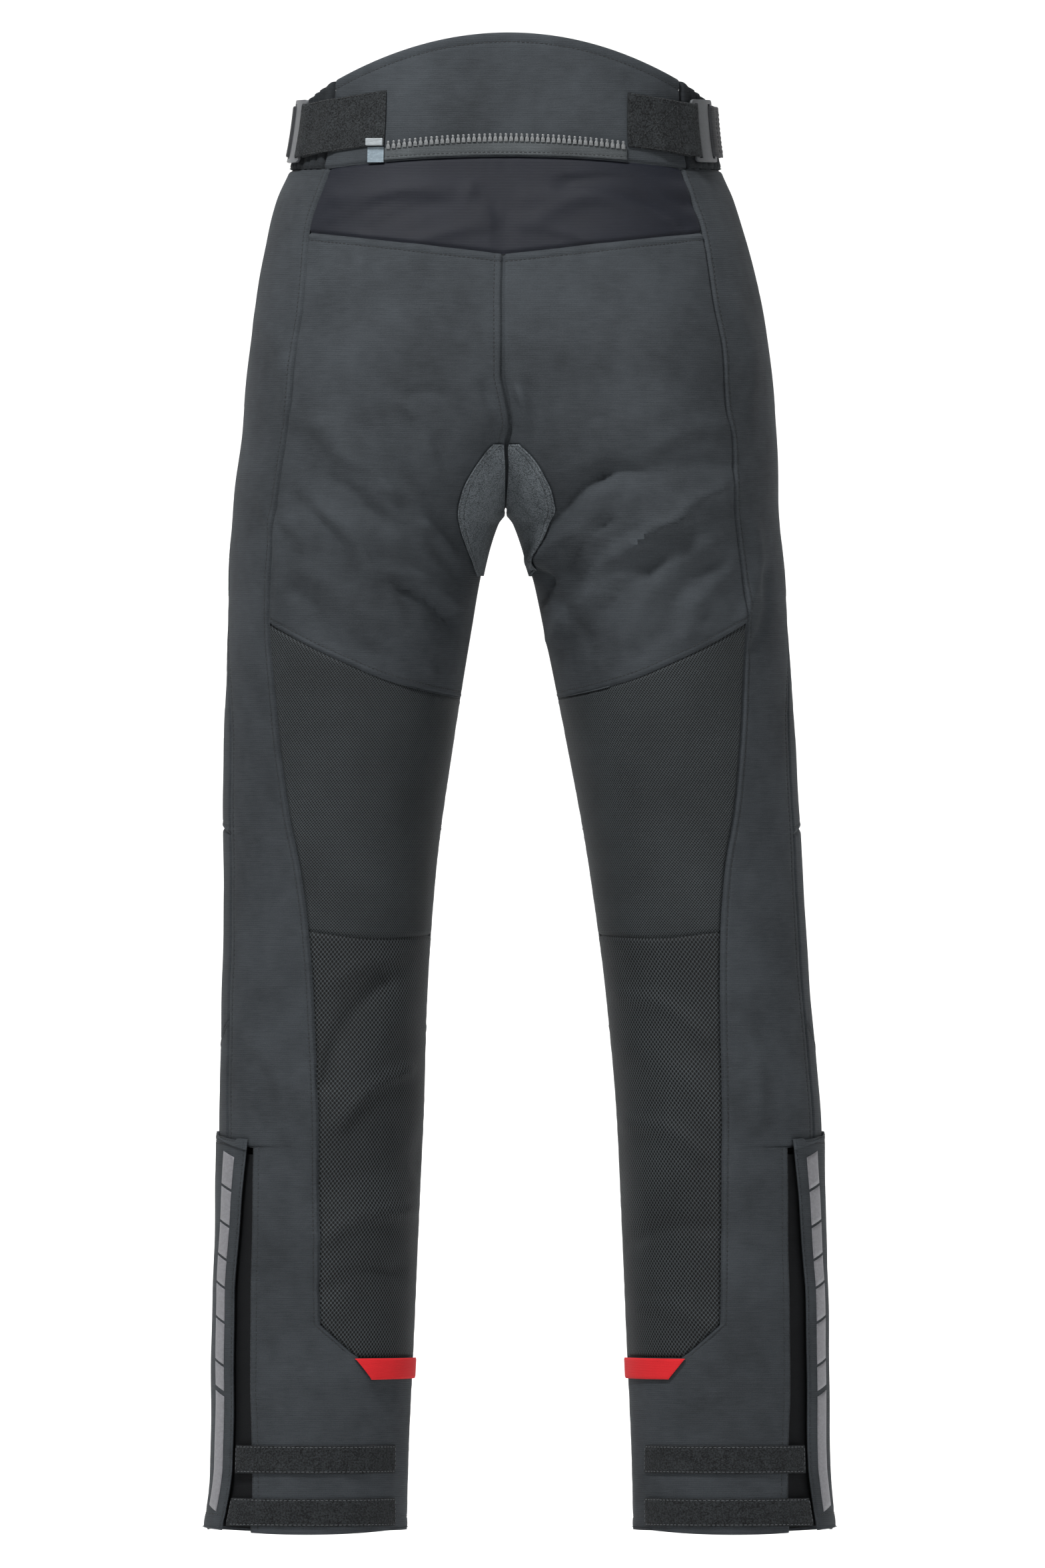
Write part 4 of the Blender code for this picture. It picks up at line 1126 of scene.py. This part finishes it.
MOULDED = {
    # colour, roughness, other settings
    "reflective": ((0.15, 0.15, 0.162), 0.55, {"Metallic": 0.2}),
    "ring_plastic": ((0.058, 0.062, 0.067), 0.42, {SHINE: 0.4}),
    "zip_plastic": ((0.105, 0.110, 0.113), 0.34, {SHINE: 0.5}),
    "zip_box": ((0.20, 0.22, 0.23), 0.45, {}),
    "tab_plastic": ((0.14, 0.175, 0.20), 0.25, {"Coat Weight": 0.4}),
    "snap_metal": ((0.05, 0.05, 0.052), 0.3, {"Metallic": 0.9}),
    "thread": ((0.007, 0.008, 0.009), 0.7, {}),
    "pale_thread": ((0.055, 0.060, 0.065), 0.6, {}),
}


def make_materials():
    made = {}
    for table, look in ((WOVEN, woven_look), (HOLED, holed_look), (PILE, pile_look),
                        (MOULDED, moulded_look)):
        for name, row in table.items():
            made[name] = look(name, *row).material
    return made


def side_name(stem, side):
    return f"{stem}_{'right' if side > 0 else 'left'}"


# Pieces
def band_foot(u, x):
    return waist_seam(u, x) + APART


def waistband():
    kidney_edge = girth(float(girth_at(KIDNEY_HALF, 20.0)))
    place = across_back(kidney_edge, waist_top, band_foot, 130.0, spaced(KIDNEY_RISE, 0.0))
    cloth("kidney_panel", [Panel(place, edges=seamed(top=turned(6.7)))], 1, "twill")
    rows = spaced(BAND_TOP, WAIST_FOOT)
    ends = (WAIST_FOOT, BAND_TOP)
    at_side = np.interp(rows, ends, (WAIST_FOOT, BAND_SIDE))
    for side in (1, -1):
        place = patch(side, kidney_edge, girth(RIBBED_TO), waist_top, band_foot, 180.0, rows,
                      at_side, cell=0.95)
        cloth(side_name("waist_elastic", side), [Panel(place, ribs(*place[1:]), seamed(
            top=turned()))], side, "elastic")
        place = patch(side, girth(RIBBED_TO), front_centre, waist_top, band_foot, 175.0,
                      np.interp(rows, ends, (WAIST_FOOT, 34)),
                      np.interp(rows, ends, (WAIST_FOOT, BAND_FRONT)))
        cloth(side_name("waist_front", side), [Panel(place, edges=seamed(
            top=turned(3.0), bottom=seam(3.0), right=turned()))], side, "twill")


def ribs(u, z):
    """The relief of the gathered waist: upright ribs of uneven width and height."""
    phase = (u - u[0, 0]) / (u[0, -1] - u[0, 0]) * RIBS
    uneven = 0.12 * np.sin(phase * 2.7 + 1) + 0.08 * np.sin(z / 9 + phase)
    wave = RIB_HEIGHT * np.abs(np.sin((phase + uneven) * math.pi)) ** RIB_FULLNESS
    return wave * (0.88 + 0.12 * np.sin(z / 6.0 + 3 * phase)) - RIB_SINK


def back_panels():
    place = across_back(side_seam, waist_seam, yoke_seam, 160.0, spaced(WAIST_FOOT, YOKE_SIDE))
    cloth("yoke", [Panel(place, edges=seamed())], 1, "stretch")
    fork_rows = (FORK_TOP, -189.0, -207.0, -222.0, -235.0, -241.0, -245.0, -248.0, -250.0, -251.2,
                 FORK, -253.5, -256.0, -260.0, -265.0, -278.0)
    for side in (1, -1):
        heights = spaced(YOKE_SIDE, THIGH_SIDE, fork_rows)
        at_centre = np.interp(heights, (THIGH_SIDE, -312, FORK, FORK_TOP, YOKE_SIDE),
                              (THIGH_INNER, -340, FORK, FORK_TOP, YOKE_INNER))
        place = patch(side, centre, side_seam, yoke_seam, thigh_seam, 175.0, at_centre, heights)
        middle_rows = (6.2,) if side < 0 else ()
        cloth(side_name("seat", side), [Panel(place, edges=seamed(
            top=seam(5.8), bottom=seam(5.3), left=seam(*middle_rows, above=FORK + 12)))],
            side, "twill")
        thigh_patch(side)
        heights = spaced(THIGH_SIDE, KNEE_SIDE)
        at_centre = np.interp(heights, (KNEE_SIDE, THIGH_SIDE), (KNEE_INNER, THIGH_INNER))
        place = patch(side, centre, side_seam, thigh_seam, knee_seam, 130.0, at_centre, heights)
        cloth(side_name("thigh_mesh", side), [Panel(place, edges=seamed())], side, "thigh_mesh",
              slot="mesh")
        heights = spaced(KNEE_SIDE, MESH_CORNER)
        at_centre = np.interp(heights, (MESH_CORNER, KNEE_SIDE), (MESH_END, KNEE_INNER))
        place = patch(side, centre, side_seam, knee_seam, mesh_end, 110.0, at_centre, heights)
        cloth(side_name("calf_mesh", side), [Panel(place, edges=seamed())], side, "calf_mesh",
              slot="mesh")


def thigh_patch(side):
    edge = traced(lambda z: girth_at(smooth(PATCH_EDGE, z), z))
    start = traced(lambda z: girth_at(2.4, z))
    rows = spaced(-206.0, -300.0, (-241.0, -245.0, -248.0, -250.0, FORK, -254.0, -258.0, -265.0),
                  2.4)
    s = (spaced(0.0, 60.0, cell=2.4) / 60.0)[None, :]
    z = rows[:, None] * np.ones_like(s)
    u = start(z) * (1 - s) + np.maximum(edge(z), start(z) + 0.001) * s
    edges = {"right": turned(1.5, 5.8), "top": turned(1.5)}
    panel = Panel((side * np.ones_like(u), u, z), TRIM + 1.3 * LAY, edges)
    cloth(side_name("thigh_patch", side), [panel], side, "suede", TRIM)


def side_panel(side):
    heights = spaced(WAIST_FOOT, HEM, (ZIP_TOP - 3, ZIP_TOP - 5, MESH_CORNER, MESH_END))
    place = patch(side, side_panel_edge, zip_edge, waist_seam, hem, 95.0, heights)
    main = Panel(place, edges=seamed(left=seam(4.6, above=MESH_END), right=seam(1.6, 7.0),
                                     bottom=turned(TURNED_HEM)))
    turn_in = place[2][:, 0] < MESH_END + 0.2
    heights = place[2][turn_in, 0]
    s = (spaced(0.0, 46.0) / 46.0)[None, :]
    u = side_panel_edge(heights)[:, None] * s
    z = np.broadcast_to(heights[:, None], u.shape).copy()
    z[-1] = hem(u[-1], None)
    low = Panel((side * np.ones_like(u), u, z), edges={
        "left": seam(), "top": seam(4.6), "bottom": turned(TURNED_HEM)})
    low.points[:, -1] = main.points[turn_in, 0]
    cloth(side_name("side_panel", side), [low, main], side, "twill")


def front_panels(side):
    fork_rows = (FORK_TOP, -189.0, -222.0, -235.0, -245.0, -250.0, FORK, -254.0, -258.0, -265.0)
    for stem, edge, top, bottom, width, heights, edges in (
        ("front_thigh", outer_seam, waist_seam, knee_top, 260.0,
         spaced(WAIST_FOOT, KNEE_TOP, fork_rows), seamed(bottom=seam(5.0))),
        ("knee_panel", outer_seam, knee_top, knee_bottom, 230.0,
         spaced(KNEE_TOP, KNEE_FOOT), seamed()),
        ("shin_panel", shin_edge, knee_bottom, hem, 210.0,
         spaced(KNEE_FOOT, HEM, (ZIP_TOP - 3, ZIP_TOP - 5)),
         seamed(top=seam(5.0), bottom=turned(TURNED_HEM))),
    ):
        place = patch(side, edge, front_centre, top, bottom, width, heights, cell=4.6)
        cloth(side_name(stem, side), [Panel(place, edges=edges)], side, "twill")


def leg_opening(side):
    top = ZIP_TOP - 10
    place = patch(side, lambda z: zip_edge(z) - 0.012, girth(0.4985), level(top),
                  lambda u, x: hem(u, x) + 3, 62.0, spaced(top, HEM + 4))
    cloth(side_name("zip_gusset", side), [Panel(place, -CLOTH - LAY)], side, "gusset", TRIM,
          slot="stretch")
    place = patch(side, flap_edge, girth(0.59), flap_top, hem, 95.0, spaced(ZIP_TOP, HEM))
    cloth(side_name("zip_flap", side), [Panel(place, CLOTH + LAY, {
        "left": turned(2.2), "top": turned(1.8, 6.5), "right": turned(2.0),
        "bottom": turned(TURNED_HEM)})], side, "twill")
    reflective_bars(side)
    for stem, high in (("upper", -925.0), ("lower", -963.0)):
        low = high - HEM_STRIP
        place = patch(side, back_x(91.0), lambda z: flap_edge(z) - 0.006, level(high), level(low),
                      100.0, spaced(high, low, cell=1.2), cell=2.5)
        cloth(side_name("hem_strip_" + stem, side), [Panel(place, TRIM + LAY, turned_all(1.2))],
              side, "hook_loop", TRIM, thread="pale_thread")
    high = MESH_END - 0.5
    low = high - RED_TAB
    place = patch(side, girth(0.004), lambda z: girth_at(119.0 + (z - high) * 0.75, z),
                  level(high), level(low), 42.0, spaced(high, low, cell=1.5), cell=1.8)
    cloth(side_name("red_tab", side), [Panel(place, TRIM + 1.7 * LAY, {
        "top": turned(), "bottom": turned(), "right": turned()})], side, "red_cloth", TRIM)


def reflective_bars(side):
    """The printed reflective bars on the flap, one slanted bar below another."""
    grids = []
    for high, low in REFLECTIVE:
        rows = np.linspace(0, 1, 3 + int((high - low) / 4))[:, None]
        s = np.linspace(0, 1, 8)[None, :]
        z = high + (low - high) * rows + BAR_SLANT * (s - 0.5)
        u = flap_edge(z) + BAR_INSET + BAR_WIDTH * s
        lift = np.full_like(u, CLOTH + LAY + BAR_RISE)
        points, _ = surface(side * np.ones_like(u), u, z, lift)
        grids.append((points, laid_out(u, z)))
    points, faces, uv = woven(grids, side)
    piece = placed(side_name("reflective_bars", side), points, faces, uv)
    piece.data.shade_smooth()
    applied(piece, "SOLIDIFY", thickness=BAR_THICK * METRE, offset=-1.0)
    dress(piece, "reflective")


# Waist adjusters
def round_waist(side, a, z, lift):
    """The surface at a length a round from the outermost point, towards the back."""
    u = np.linspace(0.0, 0.8, 400)
    x, y = ring(u, np.full_like(u, STRAP_MIDDLE))
    length = np.concatenate([[0], np.cumsum(np.hypot(np.diff(x), np.diff(y)))])
    outermost = np.interp(0.5, u, length)
    return surface(side, np.interp(outermost - a, length, u), z, lift)


def strap(name, side, path, middle, half, material, slanted, stitched):
    """A strap along a path of (a, height over the cloth) points, with rounded edges."""
    path = np.array(path, float)
    way = np.gradient(path, axis=0)
    way /= np.linalg.norm(way, axis=1, keepdims=True)
    out = np.stack([-way[:, 1], way[:, 0]], -1)
    across = np.concatenate([np.linspace(1, 0.9, 4), np.linspace(0.84, -0.84, 15),
                             np.linspace(-0.9, -1, 4)])
    into_edge = np.clip((np.abs(across) - 0.93) / 0.07, 0, 1)
    thin = TRIM / 2 * np.sqrt(np.clip(1 - into_edge**2, 0.04, 1))
    w = np.concatenate([across, across[::-1]])[None, :]
    t = np.concatenate([thin, -thin[::-1]])[None, :]
    a, height = path[:, :1], path[:, 1:]
    z = middle(a) + w * half
    fuzz = 0.12 * np.sin(a * 2.1 + w * 9) * np.sin(w * 23 + a) * (t > 0)
    along = a + t * out[:, :1] + w * slanted(a)
    points, _ = round_waist(side * np.ones_like(along), along, z, height + t * out[:, 1:] + fuzz)
    count, around = points.shape[:2]
    index = np.arange(count * around).reshape(count, around)
    shifted = np.roll(index, -1, axis=1)
    corners = np.stack([index[:-1], shifted[:-1], shifted[1:], index[1:]], -1)
    faces = corners.reshape(-1, 4).tolist()
    faces += [index[0, ::-1].tolist(), index[-1].tolist()]
    steps_along = np.linalg.norm(np.diff(path, axis=0), axis=1)
    arc = np.concatenate([[0], np.cumsum(steps_along)])[:, None]
    uv = np.stack([arc * np.ones_like(w), w * half * np.ones_like(arc)], -1) * METRE
    piece = placed(name + "_webbing", points.reshape(-1, 3), faces, uv.reshape(-1, 2))
    outward(piece)
    moulded(piece, material, name)
    rows = []
    for line in stitched:
        line = np.array(line, float)
        steps = np.linspace(0, len(line) - 1, 12 * (len(line) - 1) + 1)
        a = np.interp(steps, np.arange(len(line)), line[:, 0])
        w = np.interp(steps, np.arange(len(line)), line[:, 1])
        top = np.interp(a, *zip(*sorted((p[0], p[1]) for p in path[len(path) // 2:])))
        points, normals = round_waist(side * np.ones_like(a), a, middle(a) + w * half,
                                      top + TRIM / 2 + 0.05)
        rows.append((points, normals))
    threads = stitching(name + "_stitching", rows)


def eased(start, end, share):
    """From start to end, slowly at both."""
    return start + (end - start) * (0.5 - 0.5 * math.cos(math.pi * share))


def looped(bar, way, under, over, end):
    """A path that starts on the cloth, goes under a ring's bar, turns round it and comes back."""
    low = RIB_RISE + STRAP_CLEAR + TRIM / 2
    high = low + TRIM + 2 * APART + RING_THICK
    radius = (high - low) / 2
    turn_at = bar - way * (RING_BAR / 2 + APART)
    path = [(bar + way * a, low) for a in np.linspace(under, 2, max(3, round(under / 4)))]
    path += [(turn_at - way * radius * math.sin(t), low + radius * (1 - math.cos(t)))
             for t in np.linspace(0, math.pi, 13)]
    resting = low + TRIM + APART
    path += [(bar + way * (2 + d), eased(high, resting, d / 12)) for d in np.linspace(1, 12, 6)]
    path += [(bar + way * a, resting) for a in np.linspace(18, under + 3, max(2, round(under / 5)))]
    if over > under + 12:
        past_ribs = max(under + 12, RIBS_END - bar)
        path += [(bar + way * (past_ribs - 8), resting)]
        path += [(bar + way * (past_ribs - 8 + d), eased(resting, end, d / 11))
                 for d in np.linspace(2, 11, 5)]
        path += [(bar + way * a, end) for a in np.linspace(past_ribs + 7, over, 8)]
    return path


def waist_adjuster(side):
    middle = RING_PLACE[side]
    bar = RING_WIDTH / 2 - RING_BAR / 2

    def slant(a):
        return STRAP_MIDDLE + STRAP_RISE[side] * np.maximum(0.0, a - middle - bar)

    def end_cut(a):
        return -STRAP_SLANT * np.maximum(0.0, (a - STRAP_END + 20) / 20)

    path = looped(middle + bar, 1, 26.0, STRAP_END - middle - bar, STRAP_CLEAR + TRIM / 2)
    first, last = middle + bar + 4, STRAP_END - 3
    box = last - 38
    stitched = [((first, 0.95), (last, 0.95)), ((first, -0.95), (last, -0.95)),
                ((last, 0.88), (last, -0.88)), ((box, 0.88), (box, -0.88)),
                ((box, 0.88), (last, -0.88)), ((box, -0.88), (last, 0.88))]
    strap(side_name("waist_strap", side), side, path, slant, STRAP_HEIGHT / 2, "hook_loop",
          end_cut, stitched)
    path = looped(middle - bar, -1, 28.0, 31.0, 0.0)
    near = middle - bar - 14
    strap(side_name("ring_loop", side), side, path, lambda a: STRAP_MIDDLE + 0 * a,
          STRAP_HEIGHT / 2 - 1, "webbing", lambda a: 0 * a,
          [((near, 0.8), (near - 14, 0.8), (near - 14, -0.8), (near, -0.8), (near, 0.8))])
    waist_ring(side, middle)


def waist_ring(side, middle):
    """The flat moulded ring: a plate between two slots, with rounded corners."""
    half_hole = RING_WIDTH / 2 - RING_BAR
    half_plate = half_hole - RING_SLOT
    stops = [(-RING_WIDTH / 2, 1), (-half_hole, 5), (-half_plate, 4), (half_plate, 9),
             (half_hole, 4), (RING_WIDTH / 2, 5)]
    across = np.concatenate([np.linspace(a, b, count)[:-1]
                             for (a, _), (b, count) in zip(stops, stops[1:])] + [[RING_WIDTH / 2]])
    out = np.abs(across[:-1] + across[1:]) / 2
    in_slot = (out > half_plate) & (out < half_hole)
    top, bottom = STRAP_MIDDLE + RING_HEIGHT / 2, STRAP_MIDDLE - RING_HEIGHT / 2
    up = np.concatenate([np.linspace(top, top - RING_END, 7),
                         np.linspace(top - RING_END, bottom + RING_END, 17)[1:],
                         np.linspace(bottom + RING_END, bottom, 7)[1:]])
    between = (up[:-1] + up[1:]) / 2
    open_row = (between < top - RING_END) & (between > bottom + RING_END)
    into_corner = np.clip(np.abs(up - STRAP_MIDDLE) - (RING_HEIGHT / 2 - RING_END), 0, RING_END)
    cut = RING_END - np.sqrt(RING_END**2 - into_corner**2)
    a, z = np.meshgrid(across, up)
    a = middle + a * (1 - cut / (RING_WIDTH / 2))[:, None]
    lift = RIB_RISE + STRAP_CLEAR + TRIM + APART + RING_THICK
    points, _ = round_waist(side * np.ones_like(a), a, z, np.full_like(a, lift))
    index = np.arange(a.size).reshape(a.shape)
    faces = []
    for r in range(a.shape[0] - 1):
        for c in range(a.shape[1] - 1):
            if not (open_row[r] and in_slot[c]):
                corners = [index[r, c], index[r + 1, c], index[r + 1, c + 1], index[r, c + 1]]
                faces.append(corners if side < 0 else corners[::-1])
    name = side_name("waist_ring", side)
    piece = placed(name + "_moulding", points.reshape(-1, 3), faces)
    applied(piece, "SOLIDIFY", thickness=RING_THICK * METRE, offset=-1.0)
    rounded(piece, 0.6, 3, 50)
    moulded(piece, "ring_plastic", name)


# The connecting zip
UP = Vector((0, 0, 1))
# A tooth grows out of its foot on the tape: each step's rise in metres, width and depth
TOOTH_FOOT = (0.0028, 0.0022, 0.0016)
TOOTH_STEPS = ((0.0012, 1.0, 1.0), (0.0008, 0.58, 0.85), (0.0006, 0.85, 1.0),
               (0.0006, 1.35, 1.05), (0.0007, 1.0, 1.0), (0.0004, 0.6, 0.8))


def waist_frame(x, z, lift):
    """A place on the back of the waist at x, with its way along and its way out."""
    side = 1.0 if x >= 0 else -1.0
    point, normal = surface(np.array([side]), girth_at(np.array([abs(x)]), np.array([z])),
                            np.array([z]), np.array([lift]))
    out = Vector(normal[0])
    return Vector(point[0]), UP.cross(out).normalized() * -1, out


def edit(select):
    """Edit mode with the faces chosen by their centre and normal."""
    bpy.ops.object.mode_set(mode="OBJECT")
    mesh = bpy.context.object.data
    for group in (mesh.vertices, mesh.edges, mesh.polygons):
        for item in group:
            item.select = False
    for polygon in mesh.polygons:
        polygon.select = bool(select(polygon.center, polygon.normal))
    bpy.ops.object.mode_set(mode="EDIT")
    bpy.ops.mesh.select_mode(type="FACE")


def one_tooth():
    """A moulded tooth: a foot that grips the tape, a neck and a round head, standing along +Z."""
    deselect()
    bpy.ops.mesh.primitive_cube_add(size=1, location=(0, 0, TOOTH_FOOT[2] / 2))
    tooth = bpy.context.object
    tooth.scale = TOOTH_FOOT
    bpy.ops.object.transform_apply(location=True, scale=True)
    for rise, wide, deep in TOOTH_STEPS:
        edit(lambda middle, normal: normal.z > 0.9)
        bpy.ops.mesh.extrude_region_move(TRANSFORM_OT_translate={"value": (0, 0, rise)})
        bpy.ops.transform.resize(value=(wide, deep, 1))
    bpy.ops.object.mode_set(mode="OBJECT")
    rounded(tooth, 0.22, 1, 25)
    points = np.array([v.co for v in tooth.data.vertices])
    faces = [tuple(p.vertices) for p in tooth.data.polygons]
    bpy.data.objects.remove(tooth)
    return points, faces


def connecting_zip():
    def tape_top(u, x):
        return ZIP_TAPE - 6.0 * (x / ZIP_HALF) ** 2

    def tape_foot(u, x):
        return waist_seam(u, x) + 0.8

    off_band = 1.3 * LAY
    rows = spaced(ZIP_TAPE, 0.0, cell=1.5)
    place = across_back(back_x(ZIP_HALF), tape_top, tape_foot, 87.0, rows)
    edges = {**turned_all(), "bottom": turned(2.0)}
    cloth("zip_tape", [Panel(place, TRIM + off_band, edges)], 1, "zip_tape", TRIM)
    points, faces = one_tooth()
    every, all_faces = [], []
    for i in range(TEETH):
        x = -ZIP_HALF + 3.0 + i * (2 * ZIP_HALF - 6.0) / (TEETH - 1)
        foot = float(tape_top(0, x)) - 1.6
        origin, along, out = waist_frame(x, foot, ZIP_THICK / 2 + off_band)
        start = len(every)
        for q in points / METRE:
            every.append(origin + along * q[0] + out * q[1] + UP * q[2])
        all_faces += [tuple(start + v for v in face) for face in faces]
    piece = placed("zip_teeth_row", every, all_faces)
    outward(piece)
    moulded(piece, "zip_plastic", "zip_teeth")
    over_strap = STRAP_CLEAR + TRIM + APART
    for name, low, high, thick, clear, material, slot in (
        ("zip_box", 7.4, 12.6, 3.0, over_strap, "zip_box", "zip_plastic"),
        ("zip_tab", -4.6, 6.9, TRIM, LAY, "tab_plastic", "tab_plastic"),
    ):
        place = patch(-1, back_x(ZIP_HALF + 0.5), back_x(ZIP_HALF + 12.0), level(high), level(low),
                      11.5, spaced(high, low, cell=1.0), cell=1.0)
        points, _ = surface(*place, np.full_like(place[1], thick + clear))
        points, faces, uv = woven([(points, laid_out(place[1], place[2]))], -1)
        piece = placed(name + "_moulding", points, faces, uv)
        applied(piece, "SOLIDIFY", thickness=thick * METRE, offset=-1.0)
        rounded(piece, 0.35, 2, 50)
        moulded(piece, material, name, slot=slot)


def front_closure():
    top, bottom = FLY_EDGE[0][0], FLY_EDGE[-1][0]
    fly_edge = traced(lambda z: girth_at(smooth(FLY_EDGE, z), z, front=True))
    place = patch(-1, fly_edge, girth(0.998), level(top), level(bottom), 34.0,
                  spaced(top, bottom))
    cloth("fly", [Panel(place, CLOTH + LAY, {
        "left": turned(2.0, 7.0), "top": turned(), "bottom": turned()})], -1, "twill")
    x, z = np.meshgrid(spaced(16.0, -36.0, cell=2.0), spaced(27.0, -5.0, cell=2.0))
    u = girth_at(np.abs(x), z, front=True)
    tab = Panel((np.where(x < 0, -1.0, 1.0), u, z), CLOTH + LAY, turned_all(2.0))
    cloth("waist_tab", [tab], 1, "twill")
    front_snap()


def front_snap():
    """The round metal snap on the waist tab: a flat disc with a raised and a sunk ring."""
    x, z, lift = np.array([[SNAP_X], [SNAP_Z], [CLOTH + LAY + APART + SNAP_THICK / 2]])
    point, normal = surface(1.0, girth_at(x, z, front=True), z, lift)
    deselect()
    bpy.ops.mesh.primitive_cylinder_add(vertices=48, radius=SNAP_RADIUS * METRE,
                                        depth=SNAP_THICK * METRE)
    snap = bpy.context.object
    edit(lambda middle, way: way.z > 0.9)
    for inset, rise in ((0.9, 0.35), (1.2, -0.5), (1.4, 0.35)):
        bpy.ops.mesh.inset(thickness=inset * METRE, depth=rise * METRE)
    bpy.ops.object.mode_set(mode="OBJECT")
    rounded(snap, 0.25, 3, 30)
    turn = Vector(normal[0]).to_track_quat("Z", "Y").to_matrix().to_4x4()
    flatter = Matrix.Diagonal((1, 1, 0.62, 1))
    snap.data.transform(Matrix.Translation(Vector(point[0]) * METRE) @ turn @ flatter)
    snap.name = snap.data.name = "snap_button"
    moulded(snap, "snap_metal", "waist_snap")


# Stage
def stage():
    material = Look("studio_floor", 0.9, {})
    x, y, z = material.object_places()
    speck = material.grain(material.point(x * 0.01, y * 0.01, z * 0.01), 2.0)
    material.colour(material.mixed(speck, (0.86, 0.86, 0.86), (0.90, 0.90, 0.90)))
    across = np.linspace(-9000, 9000, 3)
    floor_z, bend_y, radius = -1060, 1200, 1400
    profile = [(-11000, floor_z), (bend_y, floor_z)]
    profile += [(bend_y + radius * math.sin(a), floor_z + radius - radius * math.cos(a))
                for a in np.linspace(0, math.pi / 2, 14)]
    profile += [(bend_y + radius, 6500)]
    points = [(x, y, z) for y, z in profile for x in across]
    faces = [(r * 3 + c, r * 3 + c + 1, (r + 1) * 3 + c + 1, (r + 1) * 3 + c)
             for r in range(len(profile) - 1) for c in range(2)]
    floor = placed("studio_sweep", points, faces)
    floor.data.shade_smooth()
    floor.data.materials.append(material.material)


def light(name, place, aim, size, power):
    data = bpy.data.lights.new(name, "AREA")
    data.shape = "RECTANGLE"
    data.size, data.size_y = size
    data.energy = power
    made = bpy.data.objects.new(name, data)
    bpy.context.scene.collection.objects.link(made)
    made.location = place
    made.rotation_mode = "QUATERNION"
    made.rotation_quaternion = (Vector(aim) - Vector(place)).to_track_quat("-Z", "Y")


def studio():
    world = bpy.data.worlds.new("studio")
    bpy.context.scene.world = world
    world.use_nodes = True
    background = world.node_tree.nodes["Background"].inputs
    background["Color"].default_value = (1.0, 1.0, 1.0, 1.0)
    background["Strength"].default_value = 0.31
    middle = (0, 0, -0.45)
    light("key", (-0.8, -1.5, 1.9), (0, 0, -0.1), (0.5, 0.5), 118)
    light("fill", (2.4, -3.6, 0.8), middle, (1.8, 1.8), 42)
    light("back", (0, 2.2, 4.6), (0, 2.4, -0.6), (5.0, 2.0), 260)
    data = bpy.data.cameras.new("camera")
    data.sensor_width = 36.0
    distance, seen_high = 24.0, 1.129
    data.lens = data.sensor_width * distance / seen_high
    data.clip_end = 60.0
    camera = bpy.data.objects.new("camera", data)
    camera.location = (0.0096, -distance, -0.45)
    camera.rotation_euler = (math.pi / 2, 0, 0)
    bpy.context.scene.collection.objects.link(camera)
    bpy.context.scene.camera = camera
    bpy.context.scene.view_settings.view_transform = "Standard"


MATERIALS = make_materials()
waistband()
back_panels()
for side in (1, -1):
    side_panel(side)
    front_panels(side)
    leg_opening(side)
    waist_adjuster(side)
connecting_zip()
front_closure()
stage()
studio()
